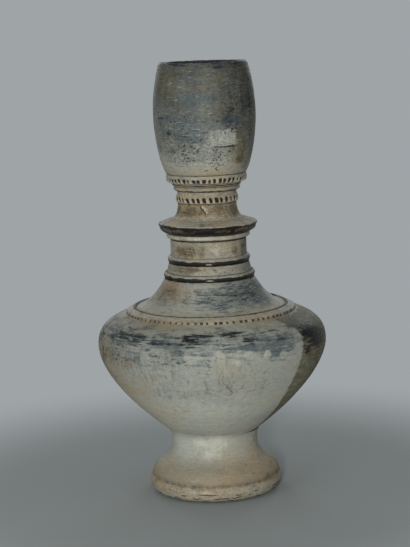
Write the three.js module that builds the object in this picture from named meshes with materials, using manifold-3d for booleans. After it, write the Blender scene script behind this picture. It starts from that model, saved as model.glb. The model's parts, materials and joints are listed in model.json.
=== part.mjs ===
// A tall terracotta water bottle: pedestal foot, wide belly, ringed neck and a tall cup-shaped mouth.
// It is built as a potter builds it, from thrown sections and applied rings luted together with slip.
// Millimetres, Z up. The origin is the middle of the resting foot and Z is the turning axis.

import * as THREE from 'three';
import { mergeVertices } from 'three/addons/utils/BufferGeometryUtils.js';
import Module from 'manifold-3d';

// Heights of the stacked sections, from the ground up.
const FOOT_COIL_HEIGHT = 16;
const STEM_FLARE_HEIGHT = 28.5;
const STEM_TOP_HEIGHT = 11;
const BOWL_HEIGHT = 79.5;
const DOME_HEIGHT = 31;
const CONE_HEIGHT = 26;
const LOWER_RING_HEIGHT = 5.4;
const WAIST_HEIGHT = 8;
const MIDDLE_RING_HEIGHT = 6.4;
const BARREL_HEIGHT = 15.4;
const COLLAR_HEIGHT = 4.6;
const FLANGE_HEIGHT = 12.5;
const THROAT_FLARE_HEIGHT = 13.7;
const LOWER_BAND_HEIGHT = 7.2;
const GROOVE_HEIGHT = 3.4;
const ROLL_HEIGHT = 4.4;
const RIDGES_HEIGHT = 2.8;
const UPPER_BAND_HEIGHT = 7.6;
const CUP_SWELL_HEIGHT = 51.9;
const CUP_DRAW_IN_HEIGHT = 44.7;

// Outer radii.
const FOOT_CONTACT_RADIUS = 52.5;
const FOOT_COIL_RADIUS = 59.6;
const STEM_HEM_RADIUS = 57.6;
const STEM_WAIST_RADIUS = 37.9;
const BELLY_JOINT_RADIUS = 39.6;
const BELLY_RADIUS = 101.6;
const SHOULDER_RADIUS = 66.2;
const CONE_TOP_RADIUS = 39.4;
const LOWER_RING_RADIUS = 40;
const WAIST_BOTTOM_RADIUS = 37;
const WAIST_TOP_RADIUS = 35.2;
const MIDDLE_RING_RADIUS = 36.1;
const BARREL_RADIUS = 33.3;
const COLLAR_RADIUS = 36.6;
const FLANGE_SEAT_RADIUS = 36.2;
const FLANGE_RADIUS = 43.3;
const THROAT_BASE_RADIUS = 32.4;
const THROAT_RADIUS = 25;
const LOWER_BAND_RADIUS = 27.4;
const GROOVE_RADIUS = 25.8;
const ROLL_RADIUS = 29.2;
const RIDGES_RADIUS = 31.2;
const UPPER_BAND_RADIUS = 35.4;
const CUP_BASE_RADIUS = 34.9;
const CUP_RADIUS = 44.9;
const RIM_RADIUS = 38.3;

// Walls, bores and floors.
const BELLY_WALL = 7.5;
const STEM_WALL = 7;
const FOOT_COIL_BORE = 46;
const BELLY_FLOOR = 9;
const NECK_BORE = 25;
const CONE_BORE = 56;
const THROAT_BORE = 17.5;
const THROAT_TUBE_WALL = 6.6;
const CUP_WALL = 5.4;
const CUP_FLOOR = 8;
const CUP_FLOOR_RADIUS = 27;
const RIM_ROUNDING = 2.4;
const RIM_SQUARENESS = 0.7;

// Seams: the layer of slip between two pieces, and the steps that key them together.
const SLIP = 0.3;
const LAP = 4;
const LAP_THICKNESS = 3.4;
const RING_SEAT = 2.2;
const COIL_LEDGE = 8;
const COIL_LIP = 3;

// Small edges: the foot coil's bevel, the flange's lip above its underside, and softened corners.
const FOOT_BEVEL_HEIGHT = 2;
const FLANGE_LIP_HEIGHT = 7.5;
const FLANGE_LIP_THICKNESS = 2.6;
const EDGE = 0.9;
const RIDGE_REACH = 0.9;

// The flat band round the shoulder and the slope that it lies on.
const SHOULDER_BAND_WIDTH = 8.6;
const SHOULDER_BAND_THICKNESS = 1.7;
const SHOULDER_SLOPE = THREE.MathUtils.degToRad(25);

// Notches pressed round the three bands: count, width, height and depth of one.
const UPPER_NOTCHES = { count: 47, width: 2.5, height: 4.6, depth: 1.8 };
const LOWER_NOTCHES = { count: 32, width: 2.7, height: 4.8, depth: 1.5 };
const SHOULDER_NOTCHES = { count: 84, width: 2.2, depth: 1.5 };

// Steps round the turning axis, and along one curved stretch of outline outside and inside.
const TURN_STEPS = 36;
const CURVE_STEPS = 5;
const INSIDE_STEPS = 3;
const BELLY_STEPS = 7;
const BEAD_STEPS = 4;
const RIDGE_STEPS = 3;

// The height of each seam above the ground, summed from the sections under it.
const Z_COIL_TOP = FOOT_COIL_HEIGHT;
const Z_STEM_WAIST = Z_COIL_TOP + STEM_FLARE_HEIGHT;
const Z_BELLY_JOINT = Z_STEM_WAIST + STEM_TOP_HEIGHT;
const Z_BELLY = Z_BELLY_JOINT + BOWL_HEIGHT;
const Z_SHOULDER = Z_BELLY + DOME_HEIGHT;
const Z_CONE_TOP = Z_SHOULDER + CONE_HEIGHT;
const Z_WAIST = Z_CONE_TOP + LOWER_RING_HEIGHT;
const Z_MIDDLE_RING = Z_WAIST + WAIST_HEIGHT;
const Z_BARREL = Z_MIDDLE_RING + MIDDLE_RING_HEIGHT;
const Z_COLLAR = Z_BARREL + BARREL_HEIGHT;
const Z_FLANGE = Z_COLLAR + COLLAR_HEIGHT;
const Z_THROAT = Z_FLANGE + FLANGE_HEIGHT;
const Z_LOWER_BAND = Z_THROAT + THROAT_FLARE_HEIGHT;
const Z_GROOVE = Z_LOWER_BAND + LOWER_BAND_HEIGHT;
const Z_ROLL = Z_GROOVE + GROOVE_HEIGHT;
const Z_RIDGES = Z_ROLL + ROLL_HEIGHT;
const Z_UPPER_BAND = Z_RIDGES + RIDGES_HEIGHT;
const Z_CUP = Z_UPPER_BAND + UPPER_BAND_HEIGHT;
const Z_CUP_SWELL = Z_CUP + CUP_SWELL_HEIGHT;
const Z_RIM = Z_CUP_SWELL + CUP_DRAW_IN_HEIGHT;

// The turned-down seats behind the neck's rings and the throat's bands, and the bore of the pedestal.
const LOWER_RING_SEAT = WAIST_BOTTOM_RADIUS - RING_SEAT;
const BARREL_SEAT = BARREL_RADIUS - RING_SEAT;
const THROAT_SEAT = THROAT_BORE + THROAT_TUBE_WALL;
const STEM_BORE = STEM_WAIST_RADIUS - STEM_WALL;

// The outer edge of the shoulder band's seat.
const BAND_OUTER_RADIUS = SHOULDER_RADIUS + SHOULDER_BAND_WIDTH;
const Z_BAND_FOOT = Z_SHOULDER - SHOULDER_BAND_WIDTH * Math.tan(SHOULDER_SLOPE);

// How each curved stretch leaves its start and arrives at its end, as shares of its width and height.
const BOWL_SHAPE = { leave: [0.57, 0.34], arrive: [0, 0.28], steps: BELLY_STEPS };
const DOME_SHAPE = { leave: [0, 0.74], arrive: [0.3, 0.14], steps: BELLY_STEPS };
const CONE_SHAPE = { leave: [0.51, 0.09], arrive: [0.07, 0.21], steps: CURVE_STEPS };
const STEM_FLARE_SHAPE = { leave: [0.12, 0.37], arrive: [0, 0.67], steps: CURVE_STEPS };
const STEM_TOP_SHAPE = { leave: [0, 0.4], arrive: [0.5, 0.35], steps: 2 };
const THROAT_SHAPE = { leave: [0.85, 0.1], arrive: [0, 0.33], steps: CURVE_STEPS };
const CUP_SWELL_SHAPE = { leave: [0.51, 0.16], arrive: [0, 0.38], steps: CURVE_STEPS };
const CUP_DRAW_IN_SHAPE = { leave: [0, 0.38], arrive: [0.5, 0.25], steps: CURVE_STEPS };

const wasm = await Module();
wasm.setup();

const clay = new THREE.MeshStandardMaterial({ name: 'buff_clay', color: 0xa39a8a, roughness: 0.78 });
const smoked = new THREE.MeshStandardMaterial({ name: 'smoked_clay', color: 0x6d6c6a, roughness: 0.7 });
const burnished = new THREE.MeshStandardMaterial({ name: 'burnished_slip', color: 0x2f2c2e, roughness: 0.42 });

const vase = new THREE.Group();

// Points of a smooth curve between two [radius, height] points.
function curve(start, end, shape) {
  const width = end[0] - start[0];
  const rise = end[1] - start[1];
  const bezier = new THREE.CubicBezierCurve(
    new THREE.Vector2(start[0], start[1]),
    new THREE.Vector2(start[0] + shape.leave[0] * width, start[1] + shape.leave[1] * rise),
    new THREE.Vector2(end[0] - shape.arrive[0] * width, end[1] - shape.arrive[1] * rise),
    new THREE.Vector2(end[0], end[1]),
  );
  return bezier.getPoints(shape.steps).map((point) => [point.x, point.y]);
}

// The same curve shape followed from its other end, for the inside of a wall.
function reversed(shape) {
  return { leave: shape.arrive, arrive: shape.leave, steps: INSIDE_STEPS };
}

// Points of a half round bead that bulges from one radius out to another between two heights.
function bead(seatRadius, crestRadius, bottom, top, steps = BEAD_STEPS) {
  const points = [];
  const reach = crestRadius - seatRadius;
  for (let i = 0; i <= steps; i += 1) {
    const angle = -Math.PI / 2 + (Math.PI * i) / steps;
    const height = (bottom + top) / 2 + (Math.sin(angle) * (top - bottom)) / 2;
    points.push([seatRadius + reach * Math.cos(angle), height]);
  }
  return points;
}

// A closed outline turned round the Z axis. The outline climbs outside and comes down inside.
function turnedGeometry(outline) {
  const points = outline.map(([radius, height]) => new THREE.Vector2(radius, height));
  if (outline[0][0] > 0) points.push(points[0].clone());
  return new THREE.LatheGeometry(points, TURN_STEPS).rotateX(Math.PI / 2);
}

function place(name, geometry, material) {
  const mesh = new THREE.Mesh(geometry, material);
  mesh.name = name;
  vase.add(mesh);
}

function toSolid(geometry) {
  const bare = geometry.clone();
  bare.deleteAttribute('normal');
  bare.deleteAttribute('uv');
  const merged = mergeVertices(bare);
  return new wasm.Manifold(new wasm.Mesh({
    numProp: 3,
    vertProperties: new Float32Array(merged.attributes.position.array),
    triVerts: new Uint32Array(merged.index.array),
  }));
}

function toGeometry(solid) {
  const mesh = solid.getMesh();
  const geometry = new THREE.BufferGeometry();
  geometry.setAttribute('position', new THREE.BufferAttribute(new Float32Array(mesh.vertProperties), 3));
  geometry.setIndex(new THREE.BufferAttribute(new Uint32Array(mesh.triVerts), 1));
  geometry.computeVertexNormals();
  return geometry;
}

// Cuts equal notches round the outside of a turned ring. The cutter stands on the X axis and is
// turned to each place in the row.
function cutNotches(geometry, count, cutter) {
  let solid = toSolid(geometry);
  for (let i = 0; i < count; i += 1) {
    const turned = cutter.clone().rotateZ((2 * Math.PI * i) / count);
    solid = solid.subtract(toSolid(turned));
  }
  return toGeometry(solid);
}

// An upright block for a notch in a face at the given radius and height, leaning out by an angle.
function notchBlock(notches, radius, height, lean) {
  return new THREE.BoxGeometry(2 * notches.depth, notches.width, notches.height)
    .rotateY(lean)
    .translate(radius, 0, height);
}

// A lying three sided bar for a nick in the top edge of a ring.
function nickBar(notches, radius, height) {
  const side = notches.width / Math.sqrt(3);
  return new THREE.CylinderGeometry(side, side, 2 * notches.depth, 3)
    .rotateZ(Math.PI / 2)
    .translate(radius, 0, height);
}

// The heavy coil that edges the foot. The pedestal sits on its inner ledge, behind its lip.
function footCoil() {
  const lip = STEM_HEM_RADIUS - COIL_LIP;
  return turnedGeometry([
    [FOOT_CONTACT_RADIUS, 0],
    ...bead(STEM_HEM_RADIUS - EDGE, FOOT_COIL_RADIUS, FOOT_BEVEL_HEIGHT, Z_COIL_TOP),
    [lip, Z_COIL_TOP],
    [lip, COIL_LEDGE],
    [FOOT_COIL_BORE, COIL_LEDGE],
    [FOOT_COIL_BORE, 0],
  ]);
}

// The hollow pedestal, flared at the bottom and drawn in to a waist, with a key ring on its top.
function pedestal() {
  const spigot = STEM_HEM_RADIUS - COIL_LIP - SLIP;
  const hem = Z_COIL_TOP + SLIP;
  const key = STEM_BORE + LAP_THICKNESS;
  return turnedGeometry([
    [spigot, COIL_LEDGE + SLIP],
    [spigot, hem],
    ...curve([STEM_HEM_RADIUS, hem], [STEM_WAIST_RADIUS, Z_STEM_WAIST], STEM_FLARE_SHAPE),
    ...curve([STEM_WAIST_RADIUS, Z_STEM_WAIST], [BELLY_JOINT_RADIUS, Z_BELLY_JOINT], STEM_TOP_SHAPE)
      .slice(1),
    [key, Z_BELLY_JOINT],
    [key, Z_BELLY_JOINT + LAP],
    [STEM_BORE, Z_BELLY_JOINT + LAP],
    ...curve([STEM_BORE, Z_STEM_WAIST], [FOOT_COIL_BORE, COIL_LEDGE + SLIP], reversed(STEM_FLARE_SHAPE)),
  ]);
}

// The lower half of the belly, thrown as a deep bowl. Its floor closes the bottle.
function lowerBelly() {
  const bottom = Z_BELLY_JOINT + SLIP;
  const keyTop = Z_BELLY_JOINT + LAP + SLIP;
  const floor = Z_BELLY_JOINT + BELLY_FLOOR;
  const inside = BELLY_RADIUS - BELLY_WALL;
  const spigot = inside + LAP_THICKNESS;
  return turnedGeometry([
    [0, bottom],
    [STEM_BORE - SLIP, bottom],
    [STEM_BORE - SLIP, keyTop],
    [STEM_BORE + LAP_THICKNESS + SLIP, keyTop],
    [STEM_BORE + LAP_THICKNESS + SLIP, bottom],
    ...curve([BELLY_JOINT_RADIUS, bottom], [BELLY_RADIUS, Z_BELLY], BOWL_SHAPE),
    [spigot, Z_BELLY],
    [spigot, Z_BELLY + LAP],
    ...curve([inside, Z_BELLY + LAP], [BELLY_JOINT_RADIUS - BELLY_WALL, floor], reversed(BOWL_SHAPE)),
    [0, floor],
  ]);
}

// The domed upper half of the belly, with a rabbet round its top for the neck.
function upperBelly() {
  const bottom = Z_BELLY + SLIP;
  const inside = BELLY_RADIUS - BELLY_WALL;
  const lap = inside + LAP_THICKNESS + SLIP;
  const rabbet = Z_SHOULDER - LAP - SLIP;
  return turnedGeometry([
    [lap, bottom],
    ...curve([BELLY_RADIUS, bottom], [BAND_OUTER_RADIUS, Z_BAND_FOOT], DOME_SHAPE),
    [SHOULDER_RADIUS, Z_SHOULDER],
    [SHOULDER_RADIUS, rabbet],
    [CONE_BORE, rabbet],
    ...curve([CONE_BORE, Z_SHOULDER - BELLY_WALL], [inside, Z_BELLY + LAP + SLIP], reversed(DOME_SHAPE)),
    [lap, Z_BELLY + LAP + SLIP],
  ]);
}

// The flat band laid on the slope of the shoulder round the foot of the neck, notched on its outer edge.
function shoulderBand() {
  const inner = SHOULDER_RADIUS + SLIP;
  const raise = SLIP / Math.cos(SHOULDER_SLOPE);
  const innerFoot = Z_SHOULDER - SLIP * Math.tan(SHOULDER_SLOPE) + raise;
  const outerFoot = Z_BAND_FOOT + raise;
  const outline = [
    [BAND_OUTER_RADIUS, outerFoot],
    [BAND_OUTER_RADIUS, outerFoot + SHOULDER_BAND_THICKNESS],
    [inner, innerFoot + SHOULDER_BAND_THICKNESS],
    [inner, innerFoot],
  ];
  const cutter = nickBar(SHOULDER_NOTCHES, BAND_OUTER_RADIUS, outerFoot + SHOULDER_BAND_THICKNESS);
  return cutNotches(turnedGeometry(outline), SHOULDER_NOTCHES.count, cutter);
}

// The neck: a concave cone up from the shoulder, a waist and a barrel, with ledges for its three rings
// and a spigot on top for the flange.
function neck() {
  const foot = Z_SHOULDER - LAP;
  return turnedGeometry([
    [SHOULDER_RADIUS - SLIP, foot],
    ...curve([SHOULDER_RADIUS - SLIP, Z_SHOULDER + SLIP], [CONE_TOP_RADIUS, Z_CONE_TOP], CONE_SHAPE),
    [LOWER_RING_SEAT, Z_CONE_TOP],
    [LOWER_RING_SEAT, Z_WAIST],
    [WAIST_BOTTOM_RADIUS, Z_WAIST],
    [WAIST_TOP_RADIUS, Z_MIDDLE_RING],
    [BARREL_SEAT, Z_MIDDLE_RING],
    [BARREL_SEAT, Z_BARREL],
    [BARREL_RADIUS, Z_BARREL],
    [BARREL_RADIUS, Z_COLLAR],
    [BARREL_SEAT, Z_COLLAR],
    [BARREL_SEAT, Z_FLANGE + LAP],
    [NECK_BORE, Z_FLANGE + LAP],
    ...curve([NECK_BORE, Z_CONE_TOP], [CONE_BORE, foot], reversed(CONE_SHAPE)),
  ]);
}

// A half round ring in its seat, a layer of slip clear of the pieces above, below and behind it.
function neckRing(seatRadius, sideRadius, crestRadius, bottom, height) {
  return turnedGeometry([
    [seatRadius + SLIP, bottom + SLIP],
    ...bead(sideRadius, crestRadius, bottom + SLIP, bottom + height - SLIP),
    [seatRadius + SLIP, bottom + height - SLIP],
  ]);
}

// The disc that stands out round the top of the neck: a bevelled underside, a sharp lip, a flat top.
function flange() {
  const lip = Z_FLANGE + FLANGE_LIP_HEIGHT;
  const socket = BARREL_SEAT + SLIP;
  const well = THROAT_BORE + LAP_THICKNESS + SLIP;
  return turnedGeometry([
    [FLANGE_SEAT_RADIUS, Z_FLANGE + SLIP],
    [FLANGE_RADIUS - EDGE, lip - FLANGE_LIP_THICKNESS / 2],
    [FLANGE_RADIUS, lip],
    [FLANGE_RADIUS - EDGE, lip + FLANGE_LIP_THICKNESS / 2],
    [THROAT_BASE_RADIUS, Z_THROAT - SLIP],
    [well, Z_THROAT - SLIP],
    [well, Z_THROAT - LAP - SLIP],
    [THROAT_BORE, Z_THROAT - LAP - SLIP],
    [THROAT_BORE, Z_FLANGE + LAP + SLIP],
    [socket, Z_FLANGE + LAP + SLIP],
    [socket, Z_FLANGE + SLIP],
  ]);
}

// The throat: it flares down on to the flange and carries the bands and rolls under the cup.
function throat() {
  const spigot = THROAT_BORE + LAP_THICKNESS;
  return turnedGeometry([
    [spigot, Z_THROAT - LAP],
    [spigot, Z_THROAT],
    ...curve([THROAT_BASE_RADIUS, Z_THROAT], [THROAT_RADIUS, Z_LOWER_BAND], THROAT_SHAPE),
    [THROAT_SEAT, Z_LOWER_BAND],
    [THROAT_SEAT, Z_GROOVE],
    [GROOVE_RADIUS, Z_GROOVE],
    [GROOVE_RADIUS, Z_ROLL],
    [THROAT_SEAT, Z_ROLL],
    [THROAT_SEAT, Z_CUP],
    [spigot, Z_CUP],
    [spigot, Z_CUP + LAP],
    [THROAT_BORE, Z_CUP + LAP],
    [THROAT_BORE, Z_THROAT - LAP],
  ]);
}

// The lower notched band: a plain lip above a row of upright notches.
function lowerNotchedBand() {
  const seat = THROAT_SEAT + SLIP;
  const bottom = Z_LOWER_BAND + SLIP;
  const top = Z_GROOVE - SLIP;
  const outline = [
    [seat, bottom],
    [LOWER_BAND_RADIUS - EDGE, bottom],
    [LOWER_BAND_RADIUS, bottom + EDGE],
    [LOWER_BAND_RADIUS, top - EDGE],
    [LOWER_BAND_RADIUS - EDGE, top],
    [seat, top],
  ];
  const middle = bottom + EDGE / 2 + LOWER_NOTCHES.height / 2;
  const cutter = notchBlock(LOWER_NOTCHES, LOWER_BAND_RADIUS, middle, 0);
  return cutNotches(turnedGeometry(outline), LOWER_NOTCHES.count, cutter);
}

// The fat plain roll under the fine ridges.
function plainRoll() {
  const seat = THROAT_SEAT + SLIP;
  const bottom = Z_ROLL + SLIP;
  return turnedGeometry([
    [seat, bottom],
    ...bead(GROOVE_RADIUS + EDGE, ROLL_RADIUS, bottom, Z_RIDGES - SLIP / 2),
    [seat, Z_RIDGES - SLIP / 2],
  ]);
}

// Two fine ridges one above the other, the upper one wider.
function fineRidges() {
  const seat = THROAT_SEAT + SLIP;
  const bottom = Z_RIDGES + SLIP / 2;
  const top = Z_UPPER_BAND - SLIP / 2;
  const middle = (bottom + top) / 2;
  return turnedGeometry([
    [seat, bottom],
    ...bead(RIDGES_RADIUS - 2 * RIDGE_REACH, RIDGES_RADIUS - RIDGE_REACH, bottom, middle, RIDGE_STEPS),
    ...bead(RIDGES_RADIUS - RIDGE_REACH, RIDGES_RADIUS, middle, top, RIDGE_STEPS).slice(1),
    [seat, top],
  ]);
}

// The upper notched band: it leans out under the cup, with a plain lip above its notches.
function upperNotchedBand() {
  const seat = THROAT_SEAT + SLIP;
  const bottom = Z_UPPER_BAND + SLIP / 2;
  const top = Z_CUP - SLIP;
  const slopeHeight = UPPER_NOTCHES.height + EDGE;
  const outline = [
    [seat, bottom],
    [RIDGES_RADIUS, bottom],
    [UPPER_BAND_RADIUS, bottom + slopeHeight],
    [UPPER_BAND_RADIUS, top - EDGE],
    [UPPER_BAND_RADIUS - EDGE, top],
    [seat, top],
  ];
  const lean = Math.atan2(UPPER_BAND_RADIUS - RIDGES_RADIUS, slopeHeight);
  const radius = (UPPER_BAND_RADIUS + RIDGES_RADIUS) / 2;
  const cutter = notchBlock(UPPER_NOTCHES, radius, bottom + slopeHeight / 2, lean);
  return cutNotches(turnedGeometry(outline), UPPER_NOTCHES.count, cutter);
}

// The tall cup-shaped mouth, with a round lip and a hole in its floor that opens into the throat.
function mouthCup() {
  const floor = Z_CUP + CUP_FLOOR;
  const socket = THROAT_BORE + LAP_THICKNESS + SLIP;
  const rimInside = RIM_RADIUS - CUP_WALL;
  const swell = [CUP_RADIUS - CUP_WALL, Z_CUP_SWELL];
  return turnedGeometry([
    [socket, Z_CUP],
    ...curve([CUP_BASE_RADIUS, Z_CUP], [CUP_RADIUS, Z_CUP_SWELL], CUP_SWELL_SHAPE),
    ...curve([CUP_RADIUS, Z_CUP_SWELL], [RIM_RADIUS, Z_RIM - RIM_ROUNDING], CUP_DRAW_IN_SHAPE).slice(1),
    [RIM_RADIUS - RIM_ROUNDING * RIM_SQUARENESS, Z_RIM],
    [rimInside + RIM_ROUNDING * RIM_SQUARENESS, Z_RIM],
    ...curve([rimInside, Z_RIM - RIM_ROUNDING], swell, reversed(CUP_DRAW_IN_SHAPE)),
    ...curve(swell, [CUP_FLOOR_RADIUS, floor], reversed(CUP_SWELL_SHAPE)).slice(1),
    [THROAT_BORE, floor],
    [THROAT_BORE, Z_CUP + LAP + SLIP],
    [socket, Z_CUP + LAP + SLIP],
  ]);
}

place('foot_rim_coil', footCoil(), clay);
place('pedestal_foot', pedestal(), clay);
place('lower_belly', lowerBelly(), clay);
place('upper_belly', upperBelly(), clay);
place('shoulder_band', shoulderBand(), clay);
place('neck', neck(), clay);
place(
  'lower_neck_ring',
  neckRing(LOWER_RING_SEAT, CONE_TOP_RADIUS - EDGE, LOWER_RING_RADIUS, Z_CONE_TOP, LOWER_RING_HEIGHT),
  burnished,
);
place(
  'middle_neck_ring',
  neckRing(BARREL_SEAT, BARREL_RADIUS, MIDDLE_RING_RADIUS, Z_MIDDLE_RING, MIDDLE_RING_HEIGHT),
  burnished,
);
place(
  'neck_collar',
  neckRing(BARREL_SEAT, BARREL_RADIUS + EDGE, COLLAR_RADIUS, Z_COLLAR, COLLAR_HEIGHT),
  clay,
);
place('flange_disc', flange(), burnished);
place('throat', throat(), clay);
place('lower_notched_band', lowerNotchedBand(), clay);
place('plain_roll', plainRoll(), clay);
place('fine_ridges', fineRidges(), clay);
place('upper_notched_band', upperNotchedBand(), clay);
place('mouth_cup', mouthCup(), smoked);

export default vase;
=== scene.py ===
import json
import math

import bpy
import numpy as np
from mathutils import Matrix, Vector


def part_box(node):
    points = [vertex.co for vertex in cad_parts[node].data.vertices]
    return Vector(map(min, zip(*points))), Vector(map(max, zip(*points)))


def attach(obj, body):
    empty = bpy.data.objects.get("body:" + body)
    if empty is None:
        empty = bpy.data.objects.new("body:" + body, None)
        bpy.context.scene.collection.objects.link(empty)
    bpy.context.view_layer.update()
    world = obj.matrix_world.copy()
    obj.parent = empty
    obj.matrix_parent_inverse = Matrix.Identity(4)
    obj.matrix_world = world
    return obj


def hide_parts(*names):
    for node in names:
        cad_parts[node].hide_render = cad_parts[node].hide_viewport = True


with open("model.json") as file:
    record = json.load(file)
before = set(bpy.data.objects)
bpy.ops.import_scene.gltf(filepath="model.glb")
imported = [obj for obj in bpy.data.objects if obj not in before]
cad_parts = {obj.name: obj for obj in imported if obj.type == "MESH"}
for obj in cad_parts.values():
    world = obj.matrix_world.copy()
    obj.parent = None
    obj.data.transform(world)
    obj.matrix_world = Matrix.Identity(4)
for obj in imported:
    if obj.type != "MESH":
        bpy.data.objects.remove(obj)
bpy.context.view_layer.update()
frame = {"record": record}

# A tall terracotta water bottle: the looks of its turned and luted clay pieces.
# Angles go round the turning axis in degrees: 0 faces the viewer, plus is to the right.
# Lengths are in millimetres here and are turned into metres where a mesh or an object is made.

# One millimetre in metres, and the layer of slip in a seam.
MM = 0.001
SLIP = 0.3


def low(node):
    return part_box(node)[0][2] / MM


def high(node):
    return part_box(node)[1][2] / MM


def reach(node):
    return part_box(node)[1][0] / MM


# Heights of the seams and edges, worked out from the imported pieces, and of a few places between them.
Z_FOOT_CREST = 10
Z_COIL_TOP = high("foot_rim_coil")
Z_BELLY_JOINT = low("lower_belly") - SLIP
Z_BELLY = low("upper_belly") - SLIP
Z_SHOULDER = high("upper_belly")
Z_CONE_TOP = low("lower_neck_ring") - SLIP
Z_WAIST = high("lower_neck_ring") + SLIP
Z_MIDDLE_RING = low("middle_neck_ring") - SLIP
Z_BARREL = high("middle_neck_ring") + SLIP
Z_COLLAR = low("neck_collar") - SLIP
Z_FLANGE = high("neck_collar") + SLIP
Z_LIP = Z_FLANGE + 7.5
Z_FLANGE_TOP = high("flange_disc")
Z_LOWER_BAND = low("lower_notched_band") - SLIP
Z_GROOVE = high("lower_notched_band") + SLIP
Z_ROLL = low("plain_roll") - SLIP
Z_RIDGES = high("plain_roll") + SLIP / 2
Z_UPPER_BAND = high("fine_ridges") + SLIP / 2
Z_CUP = low("mouth_cup")
Z_RIM = high("mouth_cup")
Z_STEM_WAIST = Z_BELLY_JOINT - 11
Z_CUP_SWELL = Z_RIM - 44.7

# Outer radii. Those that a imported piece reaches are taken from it.
OUT_OF_ROUND = 0.45
FOOT_WORN_RADIUS = 49.6
FOOT_COIL_RADIUS = reach("foot_rim_coil") - OUT_OF_ROUND
STEM_HEM_RADIUS = reach("pedestal_foot") - OUT_OF_ROUND
STEM_WAIST_RADIUS = 37.9
BELLY_JOINT_RADIUS = 39.6
BELLY_OFF_AXIS = 0.5
BELLY_SMALLER = 0.4
BELLY_RADIUS = reach("upper_belly") - OUT_OF_ROUND - BELLY_SMALLER
BAND_OUTER_RADIUS = reach("shoulder_band")
SHOULDER_RADIUS = 66.2
CONE_TOP_RADIUS = 39.4
LOWER_RING_RADIUS = reach("lower_neck_ring")
WAIST_BOTTOM_RADIUS = 37
WAIST_TOP_RADIUS = 35.2
MIDDLE_RING_RADIUS = reach("middle_neck_ring")
BARREL_RADIUS = 33.3
COLLAR_RADIUS = reach("neck_collar")
FLANGE_SEAT_RADIUS = 36.2
FLANGE_RADIUS = reach("flange_disc")
THROAT_BASE_RADIUS = 32.4
THROAT_RADIUS = 25.5
LOWER_BAND_RADIUS = reach("lower_notched_band")
GROOVE_RADIUS = 25.8
ROLL_RADIUS = reach("plain_roll")
RIDGES_RADIUS = reach("fine_ridges")
UPPER_BAND_RADIUS = reach("upper_notched_band")
CUP_BASE_RADIUS = 34.9
CUP_RADIUS = reach("mouth_cup")
RIM_RADIUS = 38.8

# Walls, bores and floors, which only show from above and from below.
BELLY_WALL = 7.5
STEM_BORE = 30.9
FOOT_COIL_BORE = 46
BELLY_FLOOR = 9
NECK_BORE = 25
CONE_BORE = 56
THROAT_BORE = 17.5
THROAT_SEAT = 24.1
CUP_WALL = 5.4
CUP_FLOOR = 8
CUP_FLOOR_RADIUS = 27

# Seats of the applied pieces, how far edges are rounded or drawn in, and the share of relief on the rim.
RING_SEAT = 2.2
COIL_LEDGE = 8
COIL_LIP = 3
LAP = 4
EDGE = 0.9
LIP_HALF = 1.3
HEM_EDGE = 0.35
FILLET = 1.1
RIM_ROUNDING = 1.3
RIM_DROP = 0.4
RIM_OUTER_EDGE = 1.1
RIM_INNER_EDGE = 1.4
RIM_RELIEF = 0.6

# The flat band round the shoulder.
SHOULDER_BAND_WIDTH = BAND_OUTER_RADIUS - SHOULDER_RADIUS
SHOULDER_BAND_THICKNESS = 1.7
SHOULDER_SLOPE = math.radians(25)
Z_BAND_FOOT = Z_SHOULDER - SHOULDER_BAND_WIDTH * math.tan(SHOULDER_SLOPE)

# How each curved stretch leaves its start and arrives at its end, as shares of its width and height.
BOWL_SHAPE = ((0.57, 0.34), (0, 0.28))
DOME_SHAPE = ((0, 0.74), (0.3, 0.14))
CONE_SHAPE = ((0.51, 0.09), (0.07, 0.21))
FOOT_ROUNDING = ((0.55, 0.05), (0, 0.62))
COIL_TOP_SHAPE = ((0, 0.5), (0.35, 0.3))
STEM_FLARE_SHAPE = ((0.06, 0.47), (0, 0.62))
STEM_TOP_SHAPE = ((0, 0.5), (0.75, 0.22))
THROAT_SHAPE = ((0.85, 0.1), (0, 0.33))
BAND_FOOT_SHAPE = ((0.72, 0.12), (0, 0.55))
BAND_TOP_SHAPE = ((0, 0.5), (0.5, 0.3))
BAND_LIP_SHAPE = ((0.1, 0.6), (0.6, 0))
BEVEL_SHAPE = ((0.75, 0.22), (0.03, 0.5))
CUP_SWELL_SHAPE = ((0.51, 0.16), (0, 0.38))
CUP_DRAW_IN_SHAPE = ((0, 0.38), (0.5, 0.25))
RIM_SHAPE = ((0, 0.6), (0.6, 0))

# Colours, as they look in daylight, from 0 to 255.
PALE_CLAY = (145, 147, 138)
WARM_CLAY = (139, 125, 100)
WHITE_CLAY = (176, 175, 162)
SMOKED_BROWN = (88, 84, 67)
SMOKED_GREY = (80, 83, 84)
HAZE = (66, 78, 82)
RUN_GREY = (82, 86, 80)
SOOT = (30, 36, 42)
BROWN_STAIN = (82, 67, 45)
RUST = (142, 112, 80)
SLIP_BLACK = (20, 19, 19)
# Darkens both dirt and painted shade in grooves, notches and under ledges.
DIRT_AND_SHADE = (30, 25, 19)
# Lightens both wear and painted highlights.
PALE_WEAR_AND_HIGHLIGHT = (166, 160, 144)
FLOOR_COLOUR = (143, 148, 147)
BACKGROUND_COLOUR = (159, 165, 167)


# Outlines.

def bend(start, end, shape, steps):
    """Points of a smooth curve between two (radius, height) points."""
    start = np.array(start, float)
    end = np.array(end, float)
    size = end - start
    leave = start + np.array(shape[0]) * size
    arrive = end - np.array(shape[1]) * size
    t = np.linspace(0, 1, steps + 1)[:, None]
    s = 1 - t
    return s ** 3 * start + 3 * s * s * t * leave + 3 * s * t * t * arrive + t ** 3 * end


def turned_back(shape):
    """The same curve shape followed from its other end."""
    return (shape[1], shape[0])


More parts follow.
